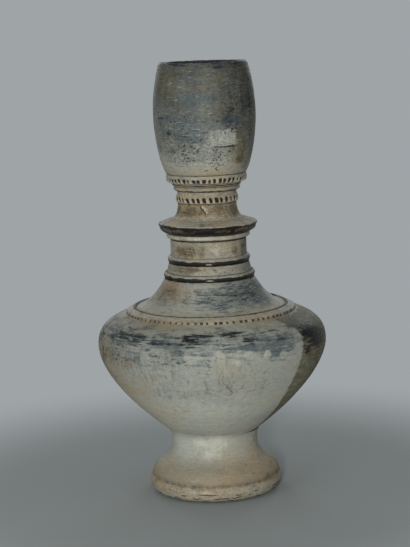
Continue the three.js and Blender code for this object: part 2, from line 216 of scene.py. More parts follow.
def curve(start, end, shape, spacing, steps):
    """A smooth curve with points at even distances along it."""
    points = bend(start, end, shape, steps)
    gaps = np.hypot(*np.diff(points, axis=0).T)
    along = np.concatenate([[0], np.cumsum(gaps)])
    count = max(1, int(round(along[-1] / spacing)))
    wanted = np.linspace(0, along[-1], count + 1)
    return np.stack([np.interp(wanted, along, column) for column in points.T], axis=1)


def straight(start, end, steps):
    return np.linspace(np.array(start, float), np.array(end, float), steps + 1)


def bead(seat, crest, bottom, top, steps):
    """Points of a half round bead that bulges from one radius to another between two heights."""
    angle = np.linspace(-math.pi / 2, math.pi / 2, steps + 1)
    radius = seat + (crest - seat) * np.cos(angle)
    height = (bottom + top) / 2 + np.sin(angle) * (top - bottom) / 2
    return np.stack([radius, height], axis=1)


def seen(points):
    """A stretch of an outline that shows, with all of the relief."""
    return points, 1.0


def hidden(points):
    """A stretch inside or in a seam, which stays plain."""
    return points, 0.0


def joined(stretches):
    """A closed outline that climbs outside and comes down inside, and the share of relief at each point."""
    points = np.zeros((0, 2))
    share = np.zeros(0)
    for stretch, amount in stretches:
        stretch = np.array(stretch, float).reshape(-1, 2)
        if len(points) and np.allclose(points[-1], stretch[0], atol=1e-6):
            share[-1] = max(share[-1], amount)
            stretch = stretch[1:]
        points = np.concatenate([points, stretch])
        share = np.concatenate([share, np.full(len(stretch), amount)])
    return points, share


def outward(points):
    """The outward direction at each point of an outline, between those of its two sides."""
    along = 0
    for side in (np.roll(points, -1, axis=0) - points, points - np.roll(points, 1, axis=0)):
        along = along + side / np.maximum(np.hypot(*side.T), 1e-9)[:, None]
    along /= np.maximum(np.hypot(*along.T), 1e-9)[:, None]
    return np.stack([along[:, 1], -along[:, 0]], axis=1)


# Surfaces with random but repeatable unevenness.

# How high the random cells go, and how tall a cell is that changes little from foot to rim.
TALLEST = 420
ALL_HEIGHTS = 300

# How fast and how crisply soft spots fade, and the square of the distance at which they have ended.
SPOT_FADE = 0.7
SPOT_EDGE = 1.3
FAR = 30

# Waves of the thrown walls: how many round the axis, lean for each mm of height, start and size in mm.
WOBBLE_WAVES = ((2, 0.011, 0.7, 0.16), (3, -0.017, 2.1, 0.10), (5, 0.026, 4.0, 0.06))


def smooth_step(x):
    x = np.clip(x, 0, 1)
    return x * x * (3 - 2 * x)


def hump(distance, half, power=2):
    """One at no distance, fading to nothing at a few half widths."""
    return np.exp(-(distance / half) ** power)


def angle_between(angle, middle):
    return (angle - middle + 180) % 360 - 180


class Skin:
    """The surface points of one piece, and the soft fields that its material turns into ragged stains and
    painted light and shade.
    """

    def __init__(self, angle, height, radius):
        self.angle = angle
        self.height = height
        self.radius = radius
        self.fields = {}

    def uneven(self, seed, around, tall=ALL_HEIGHTS):
        """Smooth random values from -1 to 1, in cells that are a share of a turn wide and some mm tall."""
        rows = int(TALLEST / tall) + 3
        table = np.random.default_rng(seed).uniform(-1, 1, (rows, around))
        u = (self.angle / 360) % 1 * around
        v = np.clip(self.height / tall, 0, rows - 2.001)
        left = np.floor(u).astype(int)
        below = np.floor(v).astype(int)
        du = smooth_step(u - left)
        dv = smooth_step(v - below)
        left %= around
        right = (left + 1) % around
        lower = table[below, left] * (1 - du) + table[below, right] * du
        upper = table[below + 1, left] * (1 - du) + table[below + 1, right] * du
        return lower * (1 - dv) + upper * dv

    def near_height(self, level, half):
        return hump(self.height - level, half)

    def near_radius(self, radius, half):
        return hump(self.radius - radius, half)

    def near_angle(self, middle, half, power=2):
        return hump(angle_between(self.angle, middle), half, power)

    def oval(self, middle, level, half_angle, half_height):
        """The square of the distance from the middle of an oval whose edge is at 1, up to far away."""
        u = angle_between(self.angle, middle) / half_angle
        v = (self.height - level) / half_height
        return np.minimum(u * u + v * v, FAR)

    def near_line(self, points, width):
        """How close each place is to a drawn line, from 1 on it to 0 a few widths away."""
        across = np.radians(1) * self.radius
        nearest = np.full(self.angle.shape, 1e9)
        for (a0, z0), (a1, z1) in zip(points[:-1], points[1:]):
            ax = angle_between(self.angle, a0) * across
            az = self.height - z0
            bx = (a1 - a0) * across
            bz = z1 - z0
            t = np.clip((ax * bx + az * bz) / (bx * bx + bz * bz), 0, 1)
            nearest = np.minimum(nearest, (ax - t * bx) ** 2 + (az - t * bz) ** 2)
        return np.exp(-nearest / width ** 2)

    def spots(self, table):
        """Soft spots laid over one another: middle angle, middle height, half sizes and strength."""
        clear = np.ones_like(self.angle)
        for *oval, strength in table:
            clear *= 1 - strength * np.exp(-self.oval(*oval) ** SPOT_EDGE * SPOT_FADE)
        return 1 - clear

    def lighter_or_darker(self, table):
        """The sum of soft spots of plus or minus strength."""
        total = np.zeros_like(self.angle)
        for *oval, amount in table:
            total += amount * np.exp(-self.oval(*oval) * SPOT_FADE)
        return total

    def stain(self, **amounts):
        """Raises fields to at least these amounts."""
        for name, amount in amounts.items():
            self.fields[name] = np.maximum(self.fields[name], amount)

    def scale(self, **factors):
        for name, factor in factors.items():
            self.fields[name] = self.fields[name] * factor

    def hand_wobble(self):
        """How far the thrown walls stray from a true circle."""
        turn = np.radians(self.angle)
        stray = BELLY_OFF_AXIS * self.near_height(Z_BELLY + 5, 26) * np.sin(turn)
        for count, lean, start, size in WOBBLE_WAVES:
            stray = stray + size * np.cos(count * turn + lean * self.height + start)
        return stray


def scattered(seed, count, *ranges):
    """A table of spots at random places, for the sides that the photograph does not show."""
    rng = np.random.default_rng(seed)
    return [tuple(rng.uniform(a, b) for a, b in ranges) for _ in range(count)]


# Marks of the firing and of age. Each row is middle angle, middle height, half sizes, strength.
SPOTS = {
    "soot": [
        (-64, 151, 7, 3.5, 0.85), (-53, 153, 9, 4.5, 0.95), (-43, 151, 8, 4, 0.95), (-33, 149, 4, 4.5, 0.8),
        (-26, 149.5, 7, 1.8, 0.65), (-13, 151.5, 7, 4.5, 1.0), (-18, 143, 4, 6, 0.5),
        (-8, 155.5, 12, 1.8, 0.75), (14, 155.5, 8, 2, 0.9), (2, 152, 5, 1.4, 0.65),
        (6, 146.5, 5, 1.5, 0.75), (19, 149, 5, 3.5, 0.9), (36, 149, 8, 1.7, 0.75), (37, 155.5, 10, 2, 0.55),
        (4, 160, 12, 1.5, 0.3), (-80, 156, 9, 6, 0.6), (59, 148, 8, 8, 1.0), (58, 140, 5, 5, 0.8),
        (70, 143, 9, 9, 0.8), (-82, 143, 9, 8, 0.6), (-74, 150, 10, 6, 0.6), (50, 157, 6, 4, 0.6),
        (62, 150, 6, 6, 0.9), (66, 140, 6, 6, 0.6), (0, 379.5, 400, 4, 0.85), (-58, 372, 9, 6, 0.5),
        (-28, 368, 6, 4, 0.5), (-10, 373, 7, 4, 0.5), (20, 375, 7, 4, 0.65), (60, 368, 16, 12, 0.4),
        (-62, 350, 10, 22, 0.35), (30, 339, 8, 5, 0.62), (-45, 321, 4, 3, 1.0), (-31, 317, 3.5, 2.5, 0.75),
        (-20, 316, 14, 3.5, 0.5), (0, 322, 16, 1.6, 0.45), (24, 330, 10, 3, 0.4), (-34, 334, 8, 3, 0.4),
        (-14, 340, 10, 3, 0.35), (52, 326, 9, 8, 0.5), (-6, 352, 10, 3, 0.3), (66, 312, 8, 14, 0.45),
        (-58, 332, 8, 6, 0.4), (28, 181, 20, 5, 0.62), (46, 178, 14, 5, 0.55), (8, 183, 14, 2.5, 0.4),
        (6, 176, 16, 3.5, 0.45), (72, 176, 10, 6, 0.5), (44, 187, 12, 2.5, 0.6),
    ],
    "haze": [
        (-17, 348, 15, 6, 1.0), (7, 349, 8, 5, 0.75), (-17, 367, 8, 6, 0.6), (52, 345, 13, 7, 0.85),
        (32, 331, 15, 6, 0.75), (-32, 331, 27, 9, 0.75), (-20, 318, 19, 7, 1.0), (-48, 320, 10, 6, 0.6),
        (-9, 373, 8, 5, 0.6), (0, 334, 12, 6, 0.4), (60, 320, 12, 14, 0.5), (24, 179, 34, 8, 1.0),
        (-5, 174, 20, 5, 0.6), (44, 182, 16, 5, 0.6), (-40, 151, 28, 6, 0.65), (12, 153, 26, 6, 0.4),
        (36, 147, 15, 6.5, 0.85), (34, 141, 8, 7, 0.95), (20, 145, 8, 5, 0.75), (-18, 144, 5, 7, 0.6),
        (-5, 133, 5, 7, 0.4), (12, 146, 10, 5, 0.55), (-9, 145, 15, 5, 0.6), (-60, 148, 20, 9, 0.5),
        (-5, 241, 20, 2.5, 0.5), (-8, 218, 6, 5, 0.25), (36, 187, 18, 4, 0.8), (0, 134, 50, 9, 0.22),
        (2, 108, 45, 16, 0.16), (60, 215, 12, 8, 0.4), (-40, 136, 22, 8, 0.35),
    ],
    "smoke": [
        (0, 388, 400, 12, 0.9), (0, 372, 400, 22, 0.95), (0, 345, 400, 18, 0.9), (0, 323, 400, 12, 0.6),
        (0, 302, 400, 9, 0.36), (-45, 312, 24, 9, 0.5), (66, 322, 24, 32, 0.9), (72, 360, 30, 24, 0.6),
        (0, 253, 400, 6, 0.5), (-34, 252, 12, 4, 0.5), (0, 240, 400, 4, 0.3), (75, 225, 26, 24, 0.6),
        (-32, 219, 26, 7, 0.5), (-9, 217, 9, 5.5, 0.42), (0, 201, 400, 4, 0.35), (-40, 202, 30, 5, 0.5),
        (26, 180, 30, 9, 0.55), (60, 180, 24, 12, 0.75), (-64, 176, 24, 12, 0.3), (0, 172, 60, 6, 0.15),
        (0, 183, 400, 8, 0.2), (0, 158, 400, 5, 0.3), (0, 152, 60, 6, 0.25), (-76, 132, 14, 30, 0.35),
        (-56, 136, 20, 11, 0.25), (75, 30, 20, 30, 0.3), (0, 16, 400, 3, 0.15), (0, 1, 400, 2.5, 0.6),
    ],
    "pale": [
        # The pale spot at 0 degrees and 96 mm is partly paler clay, partly painted light on the lower belly.
        (-2, 51, 30, 7, 0.9), (-8, 40, 22, 6, 0.55), (0, 96, 38, 22, 0.35), (-3, 253.6, 5, 1.5, 0.95),
        (-30, 187, 12, 3, 0.3), (0, 11, 60, 3, 0.35), (10, 218, 18, 5, 0.5), (0, 201, 24, 3, 0.3),
        (-6, 160, 12, 2, 0.3), (-6, 304, 12, 6, 0.4), (-36, 304, 12, 5, 0.3), (30, 300, 10, 5, 0.4),
    ],
    "brown": [
        (0, 251, 400, 5, 0.45), (-25, 251, 18, 4, 0.3), (20, 254, 14, 3, 0.6), (-42, 217, 16, 6, 0.55),
        (-80, 118, 13, 30, 0.4), (-60, 127, 4, 4, 0.5), (-58, 136, 5, 6, 0.4), (62, 141, 9, 14, 0.8),
        (70, 120, 12, 20, 0.4), (-38, 253, 12, 5, 0.8), (-30, 217, 13, 5, 0.5), (-50, 218, 7, 4, 0.5),
        (42, 218, 7, 5, 0.7), (62, 219, 10, 6, 0.5), (-20, 202.5, 9, 1.8, 1.0), (-36, 202, 10, 3, 0.6),
        (-72, 253, 12, 5, 0.75), (30, 255, 12, 2, 0.8), (52, 252, 12, 4, 0.5), (47, 297, 7, 5, 1.0),
        (51, 308, 4, 7, 0.55), (56, 17, 6, 4, 0.5), (-4, 15.4, 60, 1.6, 0.55), (-50, 187, 12, 4, 0.45),
        (-62, 182, 10, 5, 0.4), (45, 362, 16, 9, 0.25), (-12, 252, 16, 3, 0.35), (0, 241, 70, 2, 0.35),
        (-55, 202, 9, 3, 0.4), (8, 201, 5, 1.6, 0.4), (-52, 360, 12, 12, 0.2), (-14, 362, 18, 7, 0.25),
        (-66, 334, 8, 12, 0.4), (26, 342, 7, 4, 0.4), (62, 196, 12, 3, 0.5),
    ],
    "rust": [
        (-46, 129, 5, 4, 0.9), (-57, 123, 5, 5, 0.5), (34, 252, 20, 4, 0.7), (-10, 250, 14, 3, 0.4),
        (48, 299, 5, 4, 0.12), (-52, 187, 8, 3, 0.3), (-34, 163, 18, 2, 0.3), (-38, 289.5, 14, 2.5, 0.3),
        (62, 18, 8, 6, 0.5), (10, 15.5, 50, 1.8, 0.5), (-20, 90, 8, 10, 0.3), (-62, 108, 10, 12, 0.4),
    ],
    "warm": [
        (0, 20, 400, 13, 0.85), (0, 6, 400, 6, 0.28), (58, 44, 24, 14, 0.45), (0, 258, 400, 22, 0.75),
        (0, 222, 400, 14, 0.6), (0, 288, 400, 6, 0.38), (-34, 163, 24, 4, 0.75), (-75, 115, 22, 40, 0.6),
        (88, 110, 22, 50, 0.7), (-56, 184, 26, 9, 0.9), (0, 166, 400, 4, 0.3), (43, 302, 9, 9, 0.7),
        (-45, 90, 25, 22, 0.3), (30, 164, 30, 4, 0.5), (0, 202, 400, 6, 0.4), (-50, 360, 20, 14, 0.2),
    ],
    "speck": [
        (-23, 303, 14, 8, 1.0), (14, 294, 10, 6, 1.0), (-26, 326, 24, 12, 0.55), (30, 335, 18, 9, 0.5),
        (34, 322, 12, 4, 0.8), (0, 350, 60, 25, 0.24), (0, 304, 60, 8, 0.22), (45, 345, 20, 14, 0.35),
        (-58, 136, 16, 10, 0.6), (-20, 136, 20, 6, 0.5), (60, 146, 10, 10, 0.6), (0, 180, 60, 9, 0.25),
        (-46, 314, 10, 8, 0.5), (-26, 304, 20, 12, 0.5), (12, 302, 16, 10, 0.5), (-40, 218, 20, 6, 0.4),
        (0, 201, 60, 4, 0.4),
    ],
    # Where the smoke left an olive brown instead of a grey.
    "olive": [
        (0, 252, 400, 9, 0.9), (-30, 218, 34, 8, 0.9), (60, 218, 26, 8, 0.7), (-40, 202, 40, 5, 0.8),
        (-60, 362, 26, 14, 0.35), (20, 356, 26, 8, 0.2), (40, 300, 14, 12, 0.9), (-60, 184, 30, 12, 0.9),
        (-70, 132, 28, 30, 0.8), (0, 158, 400, 5, 0.7), (75, 30, 40, 30, 0.8), (74, 352, 26, 36, 0.5),
    ],
    # Where the smoke charred the clay black.
    "slip": [
        (58, 149, 7, 7, 1.0), (62, 139, 7, 7, 0.55), (53, 136, 3, 5, 0.8), (69, 150, 7, 7, 0.6),
        (-12, 152, 6, 3, 0.65), (-17, 144, 3, 6, 0.4), (-14, 155.5, 8, 1.5, 0.5), (-54, 153, 7, 2.5, 0.6),
        (15, 156, 5, 1.4, 0.6), (19, 149.5, 3.5, 2.5, 0.4),
    ],
    # Where the stains ran or were wiped down the wall.
    "run": [
        (-58, 138, 18, 14, 0.9), (-20, 144, 6, 9, 0.5), (30, 139, 18, 8, 0.3), (-20, 139, 8, 12, 0.75),
        (-34, 130, 14, 18, 0.5), (0, 122, 50, 26, 0.28), (8, 112, 22, 14, 0.5), (-40, 108, 20, 20, 0.35),
        (0, 350, 400, 26, 1.0), (0, 320, 400, 14, 0.6), (-24, 104, 18, 5, 0.5), (0, 210, 400, 12, 0.4),
        (0, 250, 400, 9, 0.5), (70, 120, 24, 30, 0.4), (180, 120, 80, 30, 0.5),
    ],
}

# Where the fired clay is made lighter or darker: mostly its own tone, and in the rows marked below painted
# light and shade. The last number is a share, plus for lighter.
TONE_AND_LIGHT_SPOTS = [
    # The first three rows light up the lower belly: partly paler clay, partly painted light on its
    # downward-facing curve.
    (0, 84, 400, 24, 0.44), (0, 85, 56, 14, 0.16), (0, 66, 60, 8, 0.13), (13, 128, 14, 8, -0.07),
    (62, 109, 14, 18, 0.26), (41, 116, 11, 18, 0.07), (60, 50, 24, 14, -0.05), (-56, 46, 26, 14, 0.34),
    # The row at 60 degrees and 352 mm darkens the right side of the cup: painted shade.
    (52, 46, 26, 14, 0.3), (-60, 80, 30, 24, 0.1), (0, 366, 400, 16, -0.1), (60, 352, 26, 34, -0.46),
    (-34, 330, 26, 12, 0.1), (-28, 318, 20, 8, 0.12), (-4, 330, 20, 20, 0.08), (0, 362, 30, 9, 0.06),
    (-42, 345, 20, 20, 0.09), (30, 322, 20, 15, 0.28), (-27, 299, 14, 6, -0.14), (12, 289, 30, 5, 0.12),
    (-10, 371, 50, 5, -0.14), (14, 358, 26, 8, 0.1), (0, 335, 400, 14, -0.04), (0, 244.5, 400, 3, 0.25),
    (0, 240.5, 400, 2.2, 0.4), (0, 166, 400, 5, 0.16), (-22, 254, 14, 6, 0.13), (-20, 200, 22, 6, 0.15),
    # The rows at 243 mm at -80 and 64 degrees darken the two ends of the flange: painted shade.
    (-80, 243, 18, 4, -0.2), (64, 243, 16, 4, -0.2), (0, 161, 40, 4, 0.09), (10, 218, 50, 8, 0.07),
    (-44, 334, 20, 12, 0.05), (38, 181, 28, 10, -0.26), (46, 160, 20, 5, -0.18), (66, 163, 14, 8, -0.18),
    # The row at 16.2 mm is painted shade in the groove at the top of the coil, and the row at 4 mm is partly
    # pale wear, partly painted light lifting the shade at the bottom edge.
    (-66, 130, 24, 16, 0.04), (0, 11, 400, 3, 0.16), (0, 16.2, 400, 2, -0.16), (0, 4, 400, 3, 0.28),
    (-6, 23, 22, 5, 0.06), (0, 200, 400, 5, 0.12), (0, 292, 400, 5, 0.12), (-46, 159, 24, 5, -0.24),
    (-50, 181, 24, 10, -0.12), (56, 14, 26, 14, -0.12), (-56, 14, 26, 14, -0.1), (0, 126, 44, 30, 0.09),
    (0, 304, 400, 7, 0.02), (0, 262, 400, 10, 0.12), (0, 222, 400, 9, 0.08), (0, 335, 50, 12, 0.08),
]

# The same kinds of marks at random places on the sides that the photograph does not show.
# Each row is field, seed, count and the ranges of height, half angle, half height and strength.
BACK_ANGLES = (110, 250)
BACK_SPOTS = (
    ("soot", 11, 18, (142, 160), (6, 16), (1.5, 5), (0.4, 0.95)),
    ("soot", 12, 12, (305, 378), (6, 14), (3, 8), (0.3, 0.6)),
    ("soot", 13, 6, (172, 186), (8, 16), (2, 5), (0.3, 0.6)),
    ("haze", 14, 8, (138, 160), (14, 30), (5, 9), (0.5, 0.8)),
    ("haze", 15, 7, (305, 345), (14, 26), (8, 12), (0.6, 0.9)),
    ("haze", 16, 4, (170, 186), (14, 30), (5, 8), (0.5, 0.9)),
    ("brown", 17, 10, (70, 140), (6, 20), (6, 20), (0.3, 0.55)),
    ("brown", 18, 9, (200, 262), (5, 14), (1.5, 4), (0.4, 0.8)),
    ("pale", 19, 9, (70, 135), (3, 24), (4, 20), (0.3, 0.5)),
    ("pale", 20, 5, (30, 60), (12, 30), (6, 9), (0.4, 0.8)),
    ("speck", 21, 8, (295, 345), (10, 20), (5, 10), (0.4, 0.9)),
    ("rust", 22, 9, (80, 165), (4, 10), (3, 9), (0.4, 0.8)),
)
for mark, first_seed, how_many, *limits in BACK_SPOTS:
    SPOTS[mark] += scattered(first_seed, how_many, BACK_ANGLES, *limits)
CHAR_STRENGTH = 0.8

# The left edge of the smoked side of the belly: height and angle. It fades out round the back.
SMOKED_SIDE_EDGE = [
    (50, 60), (72, 54), (90, 49), (110, 47), (128, 48), (140, 50), (148, 52), (156, 49), (163, 42),
]
SMOKED_SIDE_FADE_START = 96
SMOKED_SIDE_FADE_WIDTH = 46
SMOKED_SIDE_BOTTOM = 56
SMOKED_SIDE_TOP = 163
SMOKED_SIDE_STRENGTH = 0.86

# Round pale blotches with brown outlines, in a row round the belly: angle, height, half sizes.
BLOTCHES = [
    (-34, 137, 2.6, 3.6), (-22, 139, 2.4, 3.4), (-12, 141, 2.6, 3.8), (3, 141, 2.4, 3.6), (11, 133, 2.2, 3.0),
    (18, 140, 2.8, 4.0), (27, 138, 2.3, 3.4), (36, 136, 2.6, 3.8), (-4, 131, 2.0, 2.8),
]
for place in (83, 104, 118, 141, 149, 170, 196, 207, 229, 251, 262, 284, 301):
    BLOTCHES.append((place, 136 + 4 * math.sin(place), 2.4, 3.5))

# The blotches between these two angles are clearer than the others.
CLEAREST_BLOTCHES = (10, 45)
CLEAREST = 0.52
CLEAR = 0.32
BLOTCH_OUTLINE = 0.36

# Dark lines in the grooves where two pieces meet, partly dirt and partly painted shade: height, half width
# and strength.
SEAM_DIRT_AND_SHADE = (
    (Z_CONE_TOP, 0.7, 0.8), (Z_WAIST, 0.5, 0.5), (Z_MIDDLE_RING, 0.6, 0.8), (Z_BARREL, 0.4, 0.3),
    (Z_COLLAR - 0.5, 1.0, 1.1), (Z_FLANGE, 0.7, 0.9), (Z_LOWER_BAND, 0.5, 0.5), (Z_GROOVE, 0.5, 0.15),
    (Z_ROLL, 0.6, 0.8), (Z_RIDGES, 0.5, 0.7), (Z_UPPER_BAND, 0.4, 0.6), (Z_CUP, 0.7, 0.5),
)

# Drawn lines, as points of angle and height: a crack in the belly, and a scar on the throat.
CRACK = [
    (4, 127), (5, 123), (4.2, 119), (5.5, 115), (7.2, 112), (9, 108.5), (10.2, 106), (8.5, 103.5), (6.5, 105),
]
SCAR = [(-9, 255.6), (-5.5, 254.6), (-4, 252.6), (-1, 251.2)]
SCAR_OUTLINE = [(-14, 256.0), (-10.5, 253.6), (-7.5, 252.4), (-4, 250.2)]

# Small broken places: middle angle, middle height, half sizes and depth.
RIM_CHIPS = [
    (-28, 380, 6, 1.6, 0.8), (-12, 380, 4, 1.2, 0.6), (3, 380, 7, 1.5, 0.7), (22, 380, 5, 1.3, 0.8),
    (41, 380, 4, 1.7, 0.7), (-55, 380, 5, 1.2, 0.5),
] + scattered(31, 14, BACK_ANGLES, (379, 381), (2, 6), (0.9, 1.8), (0.4, 0.9))
FOOT_CHIPS = [
    (-62, 2.5, 6, 2.4, 0.9), (-44, 1.6, 5, 1.8, 0.7), (-30, 3.2, 4, 2.2, 0.9), (-17, 1.8, 6, 1.9, 0.8),
    (-3, 2.6, 5, 2.0, 0.7), (9, 1.5, 4, 1.6, 0.6), (22, 3.0, 5, 2.4, 1.0), (36, 2.0, 5, 1.8, 0.8),
    (50, 2.8, 4, 2.2, 0.7), (66, 1.8, 6, 1.8, 0.6),
] + scattered(32, 16, BACK_ANGLES, (1, 4), (2, 6), (1.2, 2.6), (0.4, 1.0))

# Broken dark lines between the flakes of the foot coil: seed, height, half width and cover.
FLAKE_LINES = ((41, 7.6, 0.5, 0.10), (48, 4.9, 0.5, 0.35), (34, 2.6, 0.45, 0.25))


def smoked_side(skin):
    """The right side of the belly, smoked brown up to a crisp edge."""
    levels, edges = zip(*SMOKED_SIDE_EDGE)
    edge = np.interp(skin.height, levels, edges) + 0.5 * skin.uneven(91, 200, 9)
    turn = skin.angle % 360
    inside = smooth_step((turn - edge) / 3 + 0.5)
    fade = 1 - smooth_step((turn - SMOKED_SIDE_FADE_START) / SMOKED_SIDE_FADE_WIDTH)
    above = smooth_step((skin.height - SMOKED_SIDE_BOTTOM) / 8)
    below = smooth_step((SMOKED_SIDE_TOP - skin.height) / 3)
    return SMOKED_SIDE_STRENGTH * inside * fade * above * below


def blotch_marks(skin):
    """How pale each place is inside the blotches, and how brown along their outlines."""
    pale = np.zeros_like(skin.angle)
    brown = np.zeros_like(skin.angle)
    ragged = 0.3 * skin.uneven(92, 130, 4)
    for blotch in BLOTCHES:
        out = np.sqrt(skin.oval(*blotch)) + ragged
        clearest = CLEAREST_BLOTCHES[0] < blotch[0] < CLEAREST_BLOTCHES[1]
        clear = CLEAREST if clearest else CLEAR
        pale = np.maximum(pale, clear * smooth_step((1.2 - out) * 2))
        brown = np.maximum(brown, BLOTCH_OUTLINE * hump(out - 1.25, 0.22))
    return pale, brown


def add_marks(skin):
    """Fills in the soft fields that the materials turn into ragged stains and painted light and shade."""
    skin.fields = {name: skin.spots(table) for name, table in SPOTS.items()}
    skin.fields["tone_and_light"] = skin.lighter_or_darker(TONE_AND_LIGHT_SPOTS)
    skin.fields["mottle"] = np.ones_like(skin.angle)
    for name in ("scratch", "dirt", "worn"):
        skin.fields[name] = np.zeros_like(skin.angle)
    pale, brown = blotch_marks(skin)
    side = smoked_side(skin)
    skin.scale(haze=1 - pale, slip=CHAR_STRENGTH)
    skin.stain(pale=pale, brown=brown, smoke=side, olive=side)
    for level, half, strength in SEAM_DIRT_AND_SHADE:
        skin.stain(dirt=strength * skin.near_height(level, half))


# Meshes.

SHARP_ANGLE = math.radians(42)


def put_in_scene(name, data):
    item = bpy.data.objects.new(name, data)
    bpy.context.scene.collection.objects.link(item)
    return item


def ring_faces(rows, steps, closed):
    """Corner numbers of the squares between neighbouring rows and steps."""
    row = np.arange(rows if closed else rows - 1)
    i, j = np.meshgrid(row, np.arange(steps), indexing="ij")
    up = (i + 1) % rows
    on = (j + 1) % steps
    squares = [i * steps + j, i * steps + on, up * steps + on, up * steps + j]
    return np.stack(squares, axis=-1).reshape(-1, 4)


def pole_faces(rows, steps):
    """Corner numbers of the triangles round the first and the last pole."""
    here = np.arange(steps)
    there = (here + 1) % steps
    top = (rows - 1) * steps
    first = np.full(steps, rows * steps)
    first_fan = np.stack([first, there, here], axis=1)
    last_fan = np.stack([first + 1, top + here, top + there], axis=1)
    return np.concatenate([first_fan, last_fan])


def write_mesh(name, corners, squares, triangles, fields):
    mesh = bpy.data.meshes.new(name)
    mesh.vertices.add(len(corners))
    mesh.vertices.foreach_set("co", (corners * MM).astype(np.float32).ravel())
    loops = np.concatenate([squares.ravel(), triangles.ravel()])
    square_starts = np.arange(len(squares)) * 4
    triangle_starts = squares.size + np.arange(len(triangles)) * 3
    starts = np.concatenate([square_starts, triangle_starts])
    mesh.loops.add(len(loops))
    mesh.loops.foreach_set("vertex_index", loops.astype(np.int32))
    mesh.polygons.add(len(starts))
    mesh.polygons.foreach_set("loop_start", starts.astype(np.int32))
    mesh.polygons.foreach_set("use_smooth", np.ones(len(starts), dtype=bool))
    mesh.update(calc_edges=True)
    mesh.validate()
    mesh.set_sharp_from_angle(angle=SHARP_ANGLE)
    for field, values in fields.items():
        layer = mesh.attributes.new(field, "FLOAT", "POINT")
        layer.data.foreach_set("value", values.astype(np.float32).ravel())
    return put_in_scene(name, mesh)


def turn_piece(name, node, steps, detail, stretches):
    """Turns an outline into a piece, with its relief and stains, and sets it in place of its node."""
    points, share = joined(stretches)
    normals = outward(points)
    pole_heights = points[[0, -1], 1]
    on_axis = points[0][0] < 1e-6
    if on_axis:
        points, share, normals = points[1:-1], share[1:-1], normals[1:-1]
    angle = np.broadcast_to(np.arange(steps) * 360 / steps, (len(points), steps))
    radius = np.repeat(points[:, :1], steps, axis=1)
    height = np.repeat(points[:, 1:], steps, axis=1)
    skin = Skin(angle, height, radius)
    add_marks(skin)
    relief = detail(skin) * share[:, None]
    radius = radius + skin.hand_wobble() + relief * normals[:, :1]
    height = height + relief * normals[:, 1:]
    turn = np.radians(angle)
    corners = np.stack([radius * np.sin(turn), -radius * np.cos(turn), height], axis=-1).reshape(-1, 3)
    squares = ring_faces(len(points), steps, not on_axis)
    triangles = np.zeros((0, 3), int)
    fields = skin.fields
    if on_axis:
        corners = np.concatenate([corners, [[0, 0, z] for z in pole_heights]])
        triangles = pole_faces(len(points), steps)
        fields = {key: np.concatenate([value.ravel(), [0, 0]]) for key, value in fields.items()}
    piece = write_mesh(name, corners, squares, triangles, fields)
    slot = SLOTS[node]
    piece.data.materials.append(MATERIALS[slot])
    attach(piece, "root")
    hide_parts(node)


# Materials.

# Noises: patches for each metre along the three axes, detail, roughness and offset.
NOISES = {
    "fine": ((760, 760, 760), 2, 0.6, 0),
    "grit": ((340, 340, 400), 4, 0.65, 3),
    "blotch": ((110, 110, 150), 5, 0.65, 7),
    "cloud": ((38, 38, 46), 4, 0.6, 11),
    "streak": ((62, 62, 560), 5, 0.62, 17),
    "brush": ((120, 120, 1500), 3, 0.6, 23),
    "smear": ((190, 190, 45), 4, 0.6, 29),
    "drift": ((56, 56, 80), 4, 0.65, 37),
    "run": ((210, 210, 24), 4, 0.62, 53),
    "speckle": ((430, 430, 620), 2, 0.5, 41),
}

# Noises made of two others, with the share of each.
BLENDS = {
    "patchy": ("blotch", 0.5, "streak", 0.5),
    "brushed": ("streak", 0.65, "brush", 0.35),
    "smeared": ("blotch", 0.5, "smear", 0.5),
    "sooty": ("brushed", 0.75, "grit", 0.25),
}

# Stains under and over the shading, in the order in which they lie. Each row is field, the noise that
# cuts it up and its strength, where the stain starts and is full, the most of it and its colour.
LOWER_STAINS = (
    ("pale", "smeared", 1.8, 0.25, 0.95, 0.75, WHITE_CLAY),
    ("brown", "smeared", 2.6, 0.25, 0.90, 0.80, BROWN_STAIN),
    ("rust", "blotch", 1.6, 0.25, 1.0, 0.65, RUST),
    ("haze", "patchy", 3.6, 0.26, 1.00, 0.90, HAZE),
    ("run", "run", 3.6, 0.44, 1.30, 0.62, RUN_GREY),
    ("scratch", "brush", 6.0, 0.65, 1.05, 0.75, PALE_CLAY),
)
# Of the marks over the shading, the dark one carries painted shade and the pale one painted highlights, as
# well as dirt and wear.
UPPER_STAINS_LIGHT_AND_SHADE = (
    ("soot", "sooty", 6.0, 0.50, 1.05, 0.95, SOOT),
    ("slip", "patchy", 2.4, 0.30, 0.70, 0.95, SLIP_BLACK),
    ("dirt", "grit", 1.4, 0.12, 0.85, 0.95, DIRT_AND_SHADE),
    ("worn", "grit", 1.6, 0.40, 0.80, 0.85, PALE_WEAR_AND_HIGHLIGHT),
)

# How strongly each noise shades the clay, and how high in metres it stands in the fine bumps.
SHADING = (("blotch", 0.70), ("grit", 0.70), ("fine", 0.60), ("cloud", 0.60), ("brushed", 0.75))
BUMPS = (("fine", 0.00008), ("grit", 0.00030), ("brushed", 0.00022), ("blotch", 0.00050))
BUMP_STRENGTH = 0.9

# The clays: a shift in brightness, roughness bare and under slip, and shine.
CLAYS = {
    "buff_clay": (0.0, 0.58, 0.36, 0.22),
    "smoked_clay": (0.0, 0.52, 0.36, 0.22),
    "burnished_slip": (-0.05, 0.55, 0.42, 0.18),
}


def colour(rgb):
    """A colour from 0 to 255, turned into the linear values that a shader takes."""
    values = [c / 255 for c in rgb]
    return tuple(c / 12.92 if c <= 0.04045 else ((c + 0.055) / 1.055) ** 2.4 for c in values) + (1,)


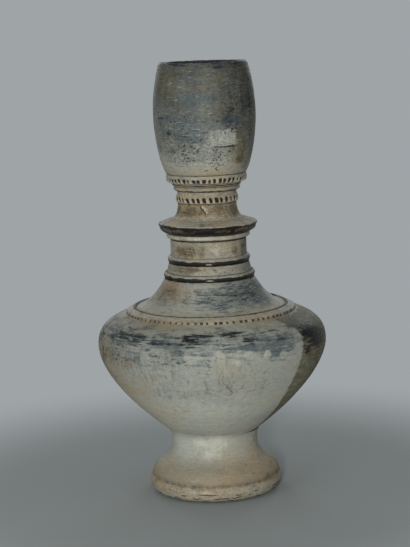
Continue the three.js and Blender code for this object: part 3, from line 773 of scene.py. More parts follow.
class Recipe:
    """Short names for the nodes of a material or of the world."""

    def __init__(self, owner):
        owner.use_nodes = True
        self.tree = owner.node_tree
        self.noises = {}

    def put(self, value, socket):
        if isinstance(value, bpy.types.NodeSocket):
            self.tree.links.new(value, socket)
        else:
            socket.default_value = value

    def new(self, kind, inputs, output=0, **settings):
        """A new node with its settings and inputs. Gives back one of its outputs."""
        node = self.tree.nodes.new("ShaderNode" + kind)
        for name, value in settings.items():
            setattr(node, name, value)
        for name, value in inputs.items():
            self.put(value, node.inputs[name])
        return node.outputs[output]

    def math(self, operation, a, b, clamp=False):
        return self.new("Math", {0: a, 1: b}, operation=operation, use_clamp=clamp)

    def plus(self, total, *others, clamp=False):
        for other in others:
            total = self.math("ADD", total, other, clamp)
        return total

    def times(self, a, b, clamp=False):
        return self.math("MULTIPLY", a, b, clamp)

    def field(self, name):
        return self.new("Attribute", {}, "Fac", attribute_name=name)

    def place(self):
        return self.new("TexCoord", {}, "Object")

    def add_noises(self):
        place = self.place()
        for name, (stretch, detail, roughness, offset) in NOISES.items():
            moved = self.new("Mapping", {"Vector": place, "Scale": stretch, "Location": (offset,) * 3})
            settings = {"Vector": moved, "Scale": 1.0, "Detail": detail, "Roughness": roughness}
            self.noises[name] = self.new("TexNoise", settings, "Fac")
        for name, (one, share, other, rest) in BLENDS.items():
            parts = self.times(self.noises[one], share), self.times(self.noises[other], rest)
            self.noises[name] = self.plus(*parts)

    def centred(self, noise, strength):
        return self.times(self.math("SUBTRACT", self.noises[noise], 0.5), strength)

    def ragged(self, soft, noise, noise_strength, start, full, most):
        """A soft value cut up by noise: nothing below one value and all of it above another."""
        total = self.plus(soft, self.centred(noise, noise_strength))
        inputs = {"Value": total, "From Min": start, "From Max": full, "To Max": most}
        return self.new("MapRange", inputs, "Result", interpolation_type="SMOOTHSTEP")

    def mix(self, under, over, share):
        return self.new("Mix", {"Factor": share, "A": under, "B": over}, "Result", data_type="RGBA")

    def stained(self, body, stains):
        """A colour with stains laid over it, and the share of each stain."""
        shares = {}
        for field, noise, strength, start, full, most, tint in stains:
            shares[field] = self.ragged(self.field(field), noise, strength, start, full, most)
            body = self.mix(body, colour(tint), shares[field])
        return body, shares

    def seen_directly(self):
        """One for rays from the camera, from gloss and from glass, zero for those that light the object."""
        rays = self.tree.nodes.new("ShaderNodeLightPath").outputs
        total = self.math("MAXIMUM", rays["Is Camera Ray"], rays["Is Glossy Ray"])
        return self.math("MAXIMUM", total, rays["Is Transmission Ray"])

    def shade_with(self, share, one, other, end):
        """Ends the nodes with two shaders, mixed by a share."""
        blend = self.new("MixShader", {0: share, 1: one, 2: other})
        self.put(blend, self.tree.nodes[end].inputs["Surface"])


def fired_clay(r):
    """The colour of the bare clay, pale or warm, smoked to brown or grey."""
    warm = r.plus(r.field("warm"), r.centred("cloud", 1.8), clamp=True)
    bare = r.mix(colour(PALE_CLAY), colour(WARM_CLAY), warm)
    smoke = r.ragged(r.field("smoke"), "patchy", 2.0, 0.10, 0.90, 0.95)
    smoke = r.plus(smoke, r.centred("blotch", 0.9), clamp=True)
    bluish = r.plus(0.6, r.centred("drift", 3.2))
    bluish = r.math("SUBTRACT", bluish, r.times(r.field("olive"), 1.5), clamp=True)
    smoke_colour = r.mix(colour(SMOKED_BROWN), colour(SMOKED_GREY), bluish)
    return r.mix(bare, smoke_colour, smoke)


def shaded(r, body, shift):
    """A colour made lighter and darker by the noises, the runs, and the tone and painted light and shade of
    each place.
    """
    mottle = r.plus(*(r.centred(noise, strength) for noise, strength in SHADING))
    runs = r.times(r.field("run"), r.centred("run", 1.3))
    shade = r.plus(r.times(mottle, r.field("mottle")), runs, r.field("tone_and_light"), 1.0 + shift)
    return r.new("VectorMath", {0: body, "Scale": shade}, "Vector", operation="SCALE")


def speckled(r, body):
    """A colour with clusters of small dark specks."""
    clustered = r.plus(r.times(r.field("speck"), 0.5), r.centred("blotch", 1.3))
    least = r.math("MINIMUM", clustered, r.field("speck"))
    speck = r.ragged(least, "speckle", 3.8, 0.60, 0.90, 0.80)
    speck = r.times(speck, r.times(r.field("speck"), 3.0, clamp=True))
    return r.mix(body, colour(SOOT), speck)


def clay_material(name, shift, roughness, slip_roughness, shine):
    """Burnished low-fired clay. Stains and painted light and shade follow each piece's soft fields, cut up by
    noise.
    """
    material = bpy.data.materials.new(name)
    r = Recipe(material)
    r.add_noises()
    body, _ = r.stained(fired_clay(r), LOWER_STAINS)
    body, shares = r.stained(speckled(r, shaded(r, body, shift)), UPPER_STAINS_LIGHT_AND_SHADE)
    rough = r.plus(
        r.times(shares["soot"], -0.14), r.centred("blotch", 0.25), roughness,
        r.times(shares["slip"], slip_roughness - roughness),
    )
    rough = r.plus(rough, r.times(shares["dirt"], 0.2), clamp=True)
    height = r.plus(*(r.times(r.noises[noise], depth) for noise, depth in BUMPS))
    bump = r.new("Bump", {"Strength": BUMP_STRENGTH, "Distance": 1.0, "Height": height}, "Normal")
    shine = r.plus(r.times(r.field("olive"), -0.8 * shine), shine)
    inputs = r.tree.nodes["Principled BSDF"].inputs
    r.put(body, inputs["Base Color"])
    r.put(rough, inputs["Roughness"])
    r.put(bump, inputs["Normal"])
    r.put(shine, inputs["Specular IOR Level"])
    return material


SLOTS = {part["node"]: part["material_slot"] for part in frame["record"]["subparts"]}
MATERIALS = {slot: clay_material(slot + "_surface", *values) for slot, values in CLAYS.items()}


# Relief of each piece, and the stains that go with it.

NICKS = 84
LOWER_NOTCHES = 32
UPPER_NOTCHES = 47
NOTCH_DEPTH = 1.5

# The bare patch on the cup: middle angle, middle height and half sizes.
PATCH_ANGLE = 21
PATCH_HEIGHT = 316.5
PATCH_HALF_ANGLE = 18
PATCH_HALF_HEIGHT = 7.5


def wheel_lines(skin, seed, depth, tall):
    """Faint level grooves from throwing and burnishing."""
    return depth * skin.uneven(seed, 3, tall) + 0.5 * depth * skin.uneven(seed + 1, 5, tall / 2)


def chips(skin, table):
    relief = np.zeros_like(skin.angle)
    ragged = 0.35 * skin.uneven(71, 240, 2)
    for *oval, depth in table:
        bite = smooth_step((1 - skin.oval(*oval) + ragged) * 1.6)
        relief = np.minimum(relief, -depth * bite)
        skin.stain(worn=0.8 * bite)
    return relief


def luting_groove(skin):
    """The open seam under the belly, deepest at the right, and darkened there with painted shade."""
    level = Z_BELLY_JOINT + 0.4 * skin.uneven(44, 12, 200)
    open_right = skin.near_angle(66, 26)
    groove = skin.near_height(level, 0.8) * (0.15 + 0.85 * open_right)
    # Painted shade in the open part of the seam.
    skin.stain(dirt=0.85 * groove * open_right)
    return groove


def drawn(seed, count, *ranges):
    """For each range, a random value for each of a number of notches."""
    rng = np.random.default_rng(seed)
    return [rng.uniform(least, most, count) for least, most in ranges]


def numbered(place, count):
    """The number of the notch at each place, and how far from its middle the place is, as a share."""
    whole = np.floor(place)
    return whole.astype(int) % count, place - whole - 0.5


def coil_detail(skin):
    """A flaking lower edge: broken dark lines between flakes, small chips, a darker bottom edge and painted
    shade low on the right.
    """
    relief = 0.16 * skin.uneven(42, 40, 4) + 0.10 * skin.uneven(39, 110, 2)
    for seed, level, half, cover in FLAKE_LINES:
        path = level + skin.uneven(seed, 34) + 0.6 * skin.uneven(seed + 1, 120)
        broken = smooth_step(cover + 1.3 * skin.uneven(seed + 2, 60))
        line = skin.near_height(path, half) * broken
        flake = skin.near_height(path + 1.2, 0.8) * broken
        skin.stain(dirt=1.1 * line, worn=0.5 * flake)
        relief -= 0.35 * line
    # Darker along the very bottom edge.
    skin.stain(dirt=0.5 * smooth_step((1.6 - skin.height) / 1.6))
    # Painted shade low on the right side of the coil.
    skin.stain(dirt=0.5 * skin.near_angle(74, 22) * smooth_step((13 - skin.height) / 8))
    skin.scale(mottle=1.6)
    return np.minimum(relief, 0.5 * chips(skin, FOOT_CHIPS))


def pedestal_detail(skin):
    skin.scale(mottle=0.8)
    return wheel_lines(skin, 43, 0.12, 6) - 0.5 * luting_groove(skin)


def belly_detail(skin):
    crack = skin.near_line(CRACK, 0.75)
    skin.stain(brown=0.95 * crack, rust=0.8 * crack)
    relief = wheel_lines(skin, 45, 0.10, 5) + 0.06 * skin.uneven(46, 60, 12)
    return relief - 0.7 * luting_groove(skin) - 0.18 * crack


def dome_detail(skin):
    return wheel_lines(skin, 47, 0.08, 2.5) + 0.06 * skin.uneven(46, 60, 12)


def shoulder_band_detail(skin):
    """Nicks pressed across the outer edge of the band, darkened with painted shade that is fainter at the
    left.
    """
    shift, size, depth = drawn(51, NICKS, (-0.16, 0.16), (0.6, 1.2), (0.6, 1.1))
    number, along = numbered(skin.angle * NICKS / 360, NICKS)
    depth = depth[number]
    across = (skin.radius - (BAND_OUTER_RADIUS - 1.5)) / 1.5
    narrow = 0.6 + 0.5 * np.clip(across, 0, 1)
    u = (along - shift[number]) / (0.26 * size[number] * narrow)
    bite = smooth_step(1.3 - u ** 2) * smooth_step(across * 1.6) * smooth_step((1.1 - across) * 4)
    faint = 1 - 0.6 * skin.spots([(-48, 161, 26, 20, 1.0)])
    # The groove along the inner edge of the band is darkened with painted shade.
    groove = skin.near_radius(SHOULDER_RADIUS + 1.4, 1.0)
    skin.stain(brown=bite, dirt=0.66 * bite * faint * (0.5 + 0.6 * depth))
    skin.stain(dirt=0.7 * groove)
    skin.scale(mottle=1.5)
    skin.fields["tone_and_light"] -= 0.22 * smooth_step(across * 2)
    return 0.08 * skin.uneven(52, 90, 3) - 0.5 * depth * bite - 0.35 * groove


def neck_detail(skin):
    """Grooves at the foot and the top of the cone, darkened with painted shade, and fine scratches through
    its haze.
    """
    foot = skin.near_radius(SHOULDER_RADIUS - 0.3, 0.6) * (skin.height < Z_SHOULDER + 6)
    small_groove = skin.near_height(Z_CONE_TOP - 1.2, 0.6)
    skin.fields["scratch"] = skin.fields["haze"] * (skin.height < Z_CONE_TOP)
    skin.stain(dirt=0.5 * foot)
    skin.stain(dirt=0.35 * small_groove)
    skin.scale(mottle=1.0 + 0.6 * smooth_step((skin.height - Z_CONE_TOP) / 4))
    return wheel_lines(skin, 53, 0.10, 2.2) - 0.3 * foot - 0.45 * small_groove


def ring_detail(seed, pale_top, pale_low, worn_at):
    """A half round ring of dark slip, with pale clay left along its top or bottom, and pale patches of
    painted highlight.
    """
    def detail(skin):
        bottom = skin.height.min()
        level = (skin.height - bottom) / (skin.height.max() - bottom)
        ragged = 0.09 * skin.uneven(seed, 36, 400) + 0.06 * skin.uneven(seed + 1, 110, 400)
        below = smooth_step((1 - pale_top - level + ragged) / 0.28 + 0.5)
        skin.fields["slip"] = below * smooth_step((level - pale_low + ragged) / 0.10 + 0.5)
        # Pale patches along the lower part of the ring: painted highlights of the lamp on the glossy slip.
        for middle, half, strength in worn_at:
            worn = skin.near_angle(middle, half) * hump(level - 0.26 - 0.6 * ragged, 0.12)
            skin.stain(worn=strength * worn)
        skin.scale(haze=0.5, mottle=1.4)
        return 0.12 * skin.uneven(seed + 2, 24, 2)
    return detail


def collar_detail(skin):
    skin.stain(brown=0.25 * smooth_step(skin.uneven(61, 22)), pale=0.6)
    skin.scale(smoke=0.2, mottle=1.4)
    return 0.10 * skin.uneven(62, 24, 2)


def flange_detail(skin):
    """Dark slip along the lip and under the bevel, brown streaks, painted shade and highlights, pale on top.
    """
    lip = skin.height - Z_LIP
    above = lip > 0
    below = lip < 0
    outside = skin.radius > FLANGE_SEAT_RADIUS - 0.5
    ragged = 0.5 * skin.uneven(63, 40) + 0.35 * skin.uneven(70, 150)
    # At the left end the dark reaches higher: painted shade.
    under_lip = smooth_step(1.0 + 1.5 * skin.near_angle(-78, 30) - lip + 0.7 * ragged)
    middle = hump(lip + 3.2 + 1.6 * ragged, 1.9, 4)
    streaks = smooth_step(1.0 + 0.9 * skin.uneven(64, 60))
    # At the front the slip stays blacker, with a painted bluish highlight across its middle.
    front_sheen = 0.8 * skin.near_angle(-2, 14)
    skin.fields["slip"] = under_lip * (1 - 0.66 * middle * streaks * (1 - front_sheen)) * outside
    # Darker below the lip: painted shade.
    skin.fields["tone_and_light"] -= 0.18 * below
    skin.scale(smoke=above, brown=above, mottle=1.6)
    skin.stain(smoke=0.9 * below, brown=0.80 * below, haze=0.7 * front_sheen * middle)
    skin.stain(warm=0.8 * (lip > 1.0))
    # A pale line along the top of the lip: partly wear, partly a painted highlight.
    skin.stain(worn=0.5 * hump(lip - LIP_HALF, 0.4) * smooth_step(skin.uneven(65, 80)))
    return 0.16 * skin.uneven(66, 36, 3)


def throat_detail(skin):
    """Painted shade just under the lower band, brown smears, and a white scar with a dark outline there."""
    ledge = smooth_step((skin.height - Z_LOWER_BAND + 2.2) / 2) * (skin.height < Z_LOWER_BAND)
    scar = skin.near_line(SCAR, 0.95) * smooth_step(1.0 + 0.8 * skin.uneven(97, 300, 1.2))
    outline = skin.near_line(SCAR_OUTLINE, 0.7)
    smear = skin.near_height(Z_LOWER_BAND - 1.6 + 0.5 * skin.uneven(95, 60), 0.7)
    smear *= smooth_step(0.3 + skin.uneven(96, 40))
    # Painted shade on the ledge under the band, and brown and rust in the smears.
    skin.stain(dirt=0.5 * ledge, rust=0.8 * smear, brown=0.7 * smear)
    skin.scale(pale=1 - 0.8 * outline, brown=1 - scar, mottle=2.4)
    skin.stain(dirt=0.85 * outline, pale=1.3 * scar, worn=1.4 * scar)
    skin.fields["tone_and_light"] += 0.25 * scar
    return wheel_lines(skin, 67, 0.10, 2.5) + 0.2 * scar


def roll_detail(skin):
    """Brown, and darkened with painted shade, along its underside."""
    level = (skin.height - Z_ROLL) / (Z_RIDGES - Z_ROLL)
    under = smooth_step((0.42 - level + 0.12 * skin.uneven(68, 50)) / 0.3)
    skin.stain(brown=0.95 * under, dirt=0.55 * under)
    skin.scale(mottle=1.5)
    return 0.14 * skin.uneven(69, 30, 2)


def ridges_detail(skin):
    """A dark line of painted shade in the crease between the two ridges."""
    middle = (Z_RIDGES + Z_UPPER_BAND) / 2 + 0.15 * skin.uneven(72, 30)
    line = skin.near_height(middle, 0.4)
    skin.stain(dirt=0.9 * line)
    return 0.12 * skin.uneven(73, 40, 2) - 0.2 * line


def notch_row(seed, count, bottom, top, width, lean, side_lean):
    """A row of hand pressed notches, darkened inside with painted shade, with pale pegs between them that
    carry a painted highlight on their lower ends. They lean more towards the sides.
    """
    def detail(skin):
        ranges = ((-0.14, 0.14), (0.62, 1.2), (0.55, 1.15), (-0.9, 0.3), (-0.14, 0.14))
        shift, wide, deep, tall, twist = drawn(seed, count, *ranges)
        up = (skin.height - bottom) / (top - bottom) - 0.5
        tilt = lean + side_lean * np.sin(np.radians(skin.angle))
        number, across = numbered(skin.angle * count / 360 - tilt * up, count)
        deep = deep[number]
        level = (skin.height - bottom) / (top + tall[number] - bottom)
        across = across - shift[number] - twist[number] * (level - 0.5)
        inside = np.clip(level, 0, 1)
        waist = 0.75 + 0.25 * np.sin(np.pi * inside)
        side = smooth_step(1.4 - np.abs(across / (width * wide[number] * waist)) ** 3)
        ends = smooth_step(level / 0.16) * smooth_step((1 - level) / 0.2)
        bite = side * ends * (1 - 0.35 * inside)
        # The pegs are painted lighter towards their lower ends, a painted highlight, and the notches darker
        # inside, painted shade.
        peg = (1 - side) * smooth_step(level / 0.12 + 0.6) * smooth_step((0.9 - level) / 0.6)
        skin.stain(dirt=np.minimum(bite * 2.2, 1.25) * deep, worn=0.85 * peg)
        skin.stain(rust=0.9 * side * ends * (deep < 0.75))
        skin.scale(mottle=1.6)
        return 0.3 * peg - NOTCH_DEPTH * deep * bite + 0.08 * skin.uneven(seed + 1, 90, 2)
    return detail


def cup_detail(skin):
    """A bare rectangular patch with a dark line under it, and a chipped rim."""
    ragged = 0.12 * skin.uneven(78, 90, 3) + 0.08 * skin.uneven(79, 200, 1.5)
    u = np.abs(angle_between(skin.angle, PATCH_ANGLE)) / PATCH_HALF_ANGLE
    v = np.abs(skin.height - PATCH_HEIGHT) / PATCH_HALF_HEIGHT
    outside = skin.radius > CUP_BASE_RADIUS
    patch = smooth_step((1 - np.maximum(u, v) + ragged) * 5) * outside
    bared = 1 - 0.85 * patch
    rough_belt = 0.5 * smooth_step((skin.height - 286) / 18) + 0.9 * skin.near_height(317, 22)
    dashes = skin.near_height(323, 1.0) * skin.near_angle(30, 14, 4)
    dashes *= smooth_step(0.2 + 1.4 * skin.uneven(94, 90))
    under_patch = skin.near_height(308.6 + 0.4 * skin.uneven(77, 60), 0.7) * skin.near_angle(26, 18, 4)
    skin.scale(pale=1 - patch, smoke=bared, haze=bared, soot=bared)
    skin.stain(pale=0.34 * patch, dirt=0.8 * dashes)
    skin.stain(dirt=0.85 * under_patch)
    skin.fields["mottle"] = 1.1 + rough_belt * (1 - 0.5 * patch)
    relief = wheel_lines(skin, 75, 0.10, 4) + 0.08 * skin.uneven(76, 26, 14) - 0.2 * patch
    relief = relief + chips(skin, RIM_CHIPS)
    skin.scale(worn=0.15)
    return relief


# Pieces, from the ground up. Each makes its outline from stretches of (radius, height) points.

# Steps round the axis and along a bead. Those of a notched piece are a multiple of its notches.
STEPS = 540
FINE_STEPS = 720
BELLY_STEPS = 640
CUP_STEPS = 520
STEPS_FOR_NICK = 14
STEPS_FOR_LOWER_NOTCH = 20
STEPS_FOR_UPPER_NOTCH = 16
BEAD_STEPS = 26


def make_foot_coil():
    lip = STEM_HEM_RADIUS - COIL_LIP
    hem = (STEM_HEM_RADIUS - HEM_EDGE, Z_COIL_TOP)
    foot = (FOOT_WORN_RADIUS, 0)
    crest = (FOOT_COIL_RADIUS, Z_FOOT_CREST)
    turn_piece("foot_coil", "foot_rim_coil", FINE_STEPS, coil_detail, [
        seen(straight((FOOT_COIL_BORE + 1, 0), foot, 4)),
        seen(curve(foot, crest, FOOT_ROUNDING, 0.45, 80)),
        seen(curve(crest, hem, COIL_TOP_SHAPE, 0.4, 60)),
        hidden([(lip, Z_COIL_TOP), (lip, COIL_LEDGE)]),
        hidden([(FOOT_COIL_BORE, COIL_LEDGE), (FOOT_COIL_BORE, 0)]),
    ])


def make_pedestal():
    spigot = STEM_HEM_RADIUS - COIL_LIP
    hem = (STEM_HEM_RADIUS - HEM_EDGE, Z_COIL_TOP)
    waist = (STEM_WAIST_RADIUS, Z_STEM_WAIST)
    top = (BELLY_JOINT_RADIUS + FILLET, Z_BELLY_JOINT)
    bore_top = (STEM_BORE, Z_STEM_WAIST)
    turn_piece("pedestal", "pedestal_foot", STEPS, pedestal_detail, [
        hidden([(spigot, COIL_LEDGE), (spigot, Z_COIL_TOP)]),
        hidden(straight((spigot, Z_COIL_TOP), hem, 2)),
        seen(curve(hem, waist, STEM_FLARE_SHAPE, 0.6, 200)),
        seen(curve(waist, top, STEM_TOP_SHAPE, 0.4, 80)),
        hidden([(STEM_BORE, Z_BELLY_JOINT)]),
        hidden(bend(bore_top, (FOOT_COIL_BORE, COIL_LEDGE), turned_back(STEM_FLARE_SHAPE), 24)),
    ])


def make_lower_belly():
    joint = (BELLY_JOINT_RADIUS, Z_BELLY_JOINT)
    joint_edge = BELLY_JOINT_RADIUS + FILLET
    wall = curve(joint, (BELLY_RADIUS, Z_BELLY), BOWL_SHAPE, 0.95, 400)
    wall = wall[wall[:, 0] > joint_edge + 0.6]
    floor = Z_BELLY_JOINT + BELLY_FLOOR
    inside = (BELLY_RADIUS - BELLY_WALL, Z_BELLY)
    turn_piece("belly_bowl", "lower_belly", BELLY_STEPS, belly_detail, [
        hidden(straight((0, Z_BELLY_JOINT), (STEM_BORE, Z_BELLY_JOINT), 4)),
        seen([(joint_edge, Z_BELLY_JOINT)]),
        seen(wall),
        hidden([inside]),
        hidden(bend(inside, (BELLY_JOINT_RADIUS - BELLY_WALL, floor), turned_back(BOWL_SHAPE), 14)),
        hidden([(0, floor)]),
    ])


def make_upper_belly():
    band_foot = (BAND_OUTER_RADIUS, Z_BAND_FOOT)
    inside = (BELLY_RADIUS - BELLY_WALL, Z_BELLY)
    turn_piece("belly_dome", "upper_belly", BELLY_STEPS, dome_detail, [
        seen(curve((BELLY_RADIUS, Z_BELLY), band_foot, DOME_SHAPE, 0.6, 400)),
        hidden(straight(band_foot, (SHOULDER_RADIUS, Z_SHOULDER), 3)),
        hidden([(SHOULDER_RADIUS, Z_SHOULDER - LAP), (CONE_BORE, Z_SHOULDER - LAP)]),
        hidden(bend((CONE_BORE, Z_SHOULDER - BELLY_WALL), inside, turned_back(DOME_SHAPE), 12)),
    ])


def make_shoulder_band():
    inner = SHOULDER_RADIUS + SLIP
    inner_height = Z_SHOULDER + SLIP
    outer_top = Z_BAND_FOOT + SLIP + SHOULDER_BAND_THICKNESS
    foot_edge = (BAND_OUTER_RADIUS - 0.1, Z_BAND_FOOT - 0.4)
    side_top = (BAND_OUTER_RADIUS - 0.2, outer_top - 0.5)
    top_edge = (BAND_OUTER_RADIUS - 0.8, outer_top + 0.2)
    steps = STEPS_FOR_NICK * NICKS
    turn_piece("band_on_shoulder", "shoulder_band", steps, shoulder_band_detail, [
        hidden(straight(foot_edge, side_top, 6)),
        seen(straight(side_top, top_edge, 3)),
        seen(straight(top_edge, (inner, inner_height + SHOULDER_BAND_THICKNESS - 0.15), 26)),
        hidden([(inner, inner_height - 0.5)]),
    ])


def make_neck():
    foot = Z_SHOULDER - LAP
    top = Z_FLANGE + LAP
    ring_seat = WAIST_BOTTOM_RADIUS - RING_SEAT
    barrel_seat = BARREL_RADIUS - RING_SEAT
    cone_foot = (SHOULDER_RADIUS, Z_SHOULDER + 0.3)
    turn_piece("neck_wall", "neck", STEPS, neck_detail, [
        hidden([(SHOULDER_RADIUS, foot), cone_foot]),
        seen(curve(cone_foot, (CONE_TOP_RADIUS, Z_CONE_TOP), CONE_SHAPE, 0.45, 300)),
        hidden([(ring_seat, Z_CONE_TOP), (ring_seat, Z_WAIST)]),
        seen(straight((WAIST_BOTTOM_RADIUS, Z_WAIST), (WAIST_TOP_RADIUS, Z_MIDDLE_RING), 18)),
        hidden([(barrel_seat, Z_MIDDLE_RING), (barrel_seat, Z_BARREL)]),
        seen(straight((BARREL_RADIUS, Z_BARREL), (BARREL_RADIUS, Z_COLLAR), 30)),
        hidden([(barrel_seat, Z_COLLAR), (barrel_seat, top), (NECK_BORE, top)]),
        hidden(bend((NECK_BORE, Z_CONE_TOP), (CONE_BORE, foot), turned_back(CONE_SHAPE), 16)),
    ])


def make_ring(name, node, seat, bottom, top, stretches, steps, detail):
    """An applied ring: stretches that show, between the two ends of a hidden seat."""
    shown = [seen(stretch) for stretch in stretches]
    turn_piece(name, node, steps, detail, [hidden([(seat, bottom)]), *shown, hidden([(seat, top)])])


def make_neck_ring(name, node, seat, side, crest, bottom, top, detail):
    round_side = bead(side, crest, bottom, top, BEAD_STEPS)
    make_ring(name, node, seat, bottom, top, [round_side], FINE_STEPS, detail)


def make_neck_rings():
    lower_seat = WAIST_BOTTOM_RADIUS - RING_SEAT
    upper_seat = BARREL_RADIUS - RING_SEAT
    # The last list in each ring's detail holds its painted highlights: middle angle, half width and strength.
    make_neck_ring(
        "ring_low", "lower_neck_ring", lower_seat, CONE_TOP_RADIUS - 1.8, LOWER_RING_RADIUS,
        Z_CONE_TOP, Z_WAIST, ring_detail(81, 0.36, 0.04, [(0, 6, 1.0), (-62, 6, 0.3)]),
    )
    make_neck_ring(
        "ring_middle", "middle_neck_ring", upper_seat, BARREL_RADIUS, MIDDLE_RING_RADIUS,
        Z_MIDDLE_RING, Z_BARREL, ring_detail(84, 0.44, 0.03, [(0, 6.5, 1.0), (24, 4, 0.5)]),
    )
    make_neck_ring(
        "collar", "neck_collar", upper_seat, BARREL_RADIUS + EDGE, COLLAR_RADIUS,
        Z_COLLAR, Z_FLANGE, collar_detail,
    )


def make_flange():
    edge = FLANGE_RADIUS - EDGE
    bottom = Z_LIP - LIP_HALF
    top = Z_LIP + LIP_HALF
    socket = BARREL_RADIUS - RING_SEAT
    socket_top = Z_FLANGE + LAP
    turn_piece("flange", "flange_disc", FINE_STEPS, flange_detail, [
        hidden([(socket, Z_FLANGE)]),
        seen(curve((FLANGE_SEAT_RADIUS, Z_FLANGE), (edge, bottom), BEVEL_SHAPE, 0.45, 60)),
        seen(bead(edge, FLANGE_RADIUS - 0.15, bottom, top, 12)),
        seen(straight((edge, top), (THROAT_BASE_RADIUS, Z_FLANGE_TOP), 26)),
        hidden([(THROAT_BORE, Z_FLANGE_TOP), (THROAT_BORE, socket_top), (socket, socket_top)]),
    ])


def make_throat():
    base = (THROAT_BASE_RADIUS, Z_FLANGE_TOP)
    turn_piece("throat_wall", "throat", STEPS, throat_detail, [
        hidden([(THROAT_BORE, Z_FLANGE_TOP), base]),
        seen(curve(base, (THROAT_RADIUS, Z_LOWER_BAND), THROAT_SHAPE, 0.4, 200)),
        hidden([(THROAT_SEAT, Z_LOWER_BAND), (THROAT_SEAT, Z_GROOVE)]),
        seen(straight((GROOVE_RADIUS, Z_GROOVE), (GROOVE_RADIUS, Z_ROLL), 8)),
        hidden([(THROAT_SEAT, Z_ROLL), (THROAT_SEAT, Z_CUP), (THROAT_BORE, Z_CUP)]),
    ])


def make_lower_band():
    bottom = Z_LOWER_BAND
    top = Z_GROOVE
    foot = (LOWER_BAND_RADIUS - 2.0, bottom)
    crest = (LOWER_BAND_RADIUS - 0.4, bottom + 3.6)
    stretches = [
        curve(foot, crest, BAND_FOOT_SHAPE, 0.25, 60),
        curve(crest, (GROOVE_RADIUS + 0.3, top), BAND_TOP_SHAPE, 0.25, 60),
    ]
    detail = notch_row(55, LOWER_NOTCHES, bottom + 0.8, bottom + 6.4, 0.31, -0.20, 0.35)
    steps = STEPS_FOR_LOWER_NOTCH * LOWER_NOTCHES
    make_ring("band_low", "lower_notched_band", THROAT_SEAT, bottom, top, stretches, steps, detail)


def make_roll():
    round_side = bead(GROOVE_RADIUS + 0.4, ROLL_RADIUS - 0.1, Z_ROLL, Z_RIDGES, BEAD_STEPS)
    make_ring("roll", "plain_roll", THROAT_SEAT, Z_ROLL, Z_RIDGES, [round_side], STEPS, roll_detail)


def make_ridges():
    bottom = Z_RIDGES
    top = Z_UPPER_BAND
    middle = (bottom + top) / 2
    stretches = [
        bead(RIDGES_RADIUS - 2.4, RIDGES_RADIUS - 1.0, bottom, middle, 12),
        bead(RIDGES_RADIUS - 1.5, RIDGES_RADIUS - 0.1, middle, top, 12),
    ]
    make_ring("ridges", "fine_ridges", THROAT_SEAT, bottom, top, stretches, STEPS, ridges_detail)


def make_upper_band():
    bottom = Z_UPPER_BAND
    crest = (UPPER_BAND_RADIUS - 0.4, bottom + 3.2)
    lip = (UPPER_BAND_RADIUS - 0.3, bottom + 5.8)
    stretches = [
        curve((RIDGES_RADIUS, bottom), crest, BAND_FOOT_SHAPE, 0.25, 80),
        straight(crest, lip, 11),
        bend(lip, (CUP_BASE_RADIUS - 1.0, Z_CUP), BAND_LIP_SHAPE, 10),
    ]
    detail = notch_row(57, UPPER_NOTCHES, bottom + 0.6, bottom + 5.3, 0.32, 0.0, 0.45)
    steps = STEPS_FOR_UPPER_NOTCH * UPPER_NOTCHES
    make_ring("band_high", "upper_notched_band", THROAT_SEAT, bottom, Z_CUP, stretches, steps, detail)


def make_cup():
    base = (CUP_BASE_RADIUS, Z_CUP + 0.5)
    swell = (CUP_RADIUS - 0.3, Z_CUP_SWELL)
    rim_foot = (RIM_RADIUS, Z_RIM - RIM_ROUNDING)
    top = Z_RIM - RIM_DROP
    outer_edge = (RIM_RADIUS - RIM_OUTER_EDGE, top)
    inner_edge = (RIM_RADIUS - CUP_WALL + RIM_INNER_EDGE, top)
    inner_rim = (RIM_RADIUS - CUP_WALL, Z_RIM - RIM_ROUNDING)
    inner_swell = (CUP_RADIUS - CUP_WALL, Z_CUP_SWELL)
    floor = Z_CUP + CUP_FLOOR
    turn_piece("cup", "mouth_cup", CUP_STEPS, cup_detail, [
        hidden([(THROAT_BORE, Z_CUP)]),
        seen(straight((CUP_BASE_RADIUS - 1.2, Z_CUP), base, 3)),
        seen(curve(base, swell, CUP_SWELL_SHAPE, 0.8, 300)),
        seen(curve(swell, rim_foot, CUP_DRAW_IN_SHAPE, 0.7, 300)),
        seen(bend(rim_foot, outer_edge, RIM_SHAPE, 8)),
        (straight(outer_edge, inner_edge, 4), RIM_RELIEF),
        hidden(bend(inner_edge, inner_rim, turned_back(RIM_SHAPE), 5)),
        hidden(bend(inner_rim, inner_swell, turned_back(CUP_DRAW_IN_SHAPE), 16)),
        hidden(bend(inner_swell, (CUP_FLOOR_RADIUS, floor), turned_back(CUP_SWELL_SHAPE), 18)),
        hidden([(THROAT_BORE, floor)]),
    ])


make_foot_coil()
make_pedestal()
make_lower_belly()
make_upper_belly()
make_shoulder_band()
make_neck()
make_neck_rings()
make_flange()
make_throat()
make_lower_band()
make_roll()
make_ridges()
make_upper_band()
make_cup()


# Camera, floor and light.

# The camera as worked out from the photograph. Its focal length is in points of the picture's height.
PICTURE_HEIGHT = 547
FOCAL_LENGTH = 1625
FILM_HEIGHT = 36
CAMERA_PLACE = (-4.0, -1416, 422)
LOOKS_DOWN = 9.15
CAMERA_ROLL = -1.92

FLOOR_REACH = 9000
FLOOR_FADE_START = 180
FLOOR_FADE_END = 430
FLOOR_ROUGHNESS = 0.9
FLOOR_SHINE = 0.1

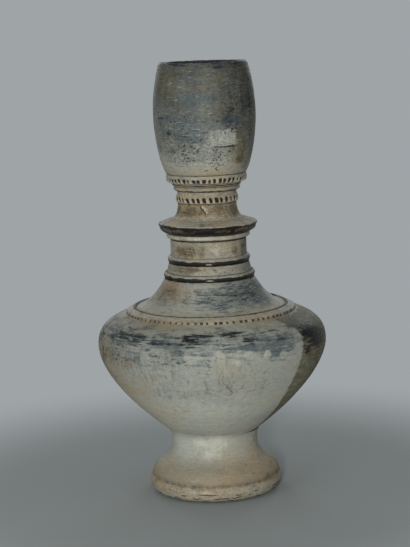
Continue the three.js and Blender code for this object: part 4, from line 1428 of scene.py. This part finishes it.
# Each lamp: name, place, width, power and tint. All of them point at the middle of the bottle.
LAMP_TARGET = (0, 0, 190)
LAMPS = (
    ("key", (-115, -1405, 370), 120, 12.4, (1.0, 0.985, 0.96)),
    ("daylight", (-950, -1000, 520), 500, 2.2, (0.90, 0.96, 1.0)),
    ("back_left", (-540, 1400, 720), 700, 4.0, (0.96, 0.98, 1.0)),
    ("back_right", (540, 1400, 720), 700, 4.0, (0.96, 0.98, 1.0)),
)
SKY_TINT = (0.93, 0.97, 1.0, 1)
SKY_STRENGTH = 0.36


def make_camera():
    data = bpy.data.cameras.new("camera")
    data.sensor_fit = "AUTO"
    data.sensor_width = FILM_HEIGHT
    data.lens = FOCAL_LENGTH * FILM_HEIGHT / PICTURE_HEIGHT
    camera = put_in_scene("camera", data)
    down = Matrix.Rotation(math.radians(90 - LOOKS_DOWN), 3, "X")
    turned = Matrix.Rotation(math.radians(CAMERA_ROLL), 3, "Z")
    camera.rotation_euler = (down @ turned).to_euler()
    camera.location = Vector(CAMERA_PLACE) * MM
    bpy.context.scene.camera = camera


def make_floor():
    """A pale floor that turns into the plain background a little way round the bottle."""
    data = bpy.data.meshes.new("floor")
    side = FLOOR_REACH * MM
    corners = [(-side, -side, 0), (side, -side, 0), (side, side, 0), (-side, side, 0)]
    data.from_pydata(corners, [], [(0, 1, 2, 3)])
    floor = put_in_scene("floor", data)
    material = bpy.data.materials.new("floor_paper")
    r = Recipe(material)
    paper = r.tree.nodes["Principled BSDF"]
    paper.inputs["Base Color"].default_value = colour(FLOOR_COLOUR)
    paper.inputs["Roughness"].default_value = FLOOR_ROUGHNESS
    paper.inputs["Specular IOR Level"].default_value = FLOOR_SHINE
    distance = r.new("VectorMath", {0: r.place()}, "Value", operation="LENGTH")
    limits = {"Value": distance, "From Min": FLOOR_FADE_START * MM, "From Max": FLOOR_FADE_END * MM}
    fade = r.new("MapRange", limits, "Result", interpolation_type="SMOOTHSTEP")
    plain = r.new("Emission", {"Color": colour(BACKGROUND_COLOUR)})
    r.shade_with(r.times(fade, r.seen_directly()), paper.outputs[0], plain, "Material Output")
    data.materials.append(material)


def make_lamp(name, place, width, power, tint):
    data = bpy.data.lights.new(name, "AREA")
    data.shape = "DISK"
    data.size = width * MM
    data.energy = power
    data.color = tint
    lamp = put_in_scene(name, data)
    lamp.location = Vector(place) * MM
    aim = (Vector(LAMP_TARGET) - Vector(place)).to_track_quat("-Z", "Y")
    lamp.rotation_euler = aim.to_euler()


def make_sky():
    """A soft sky that lights the bottle, behind a plain background that the camera sees."""
    world = bpy.data.worlds.new("world")
    r = Recipe(world)
    sky = r.tree.nodes["Background"]
    sky.inputs["Color"].default_value = SKY_TINT
    sky.inputs["Strength"].default_value = SKY_STRENGTH
    plain = r.new("Background", {"Color": colour(BACKGROUND_COLOUR)})
    r.shade_with(r.seen_directly(), sky.outputs[0], plain, "World Output")
    bpy.context.scene.world = world


make_camera()
make_floor()
for lamp_row in LAMPS:
    make_lamp(*lamp_row)
make_sky()
bpy.context.scene.view_settings.view_transform = "Standard"
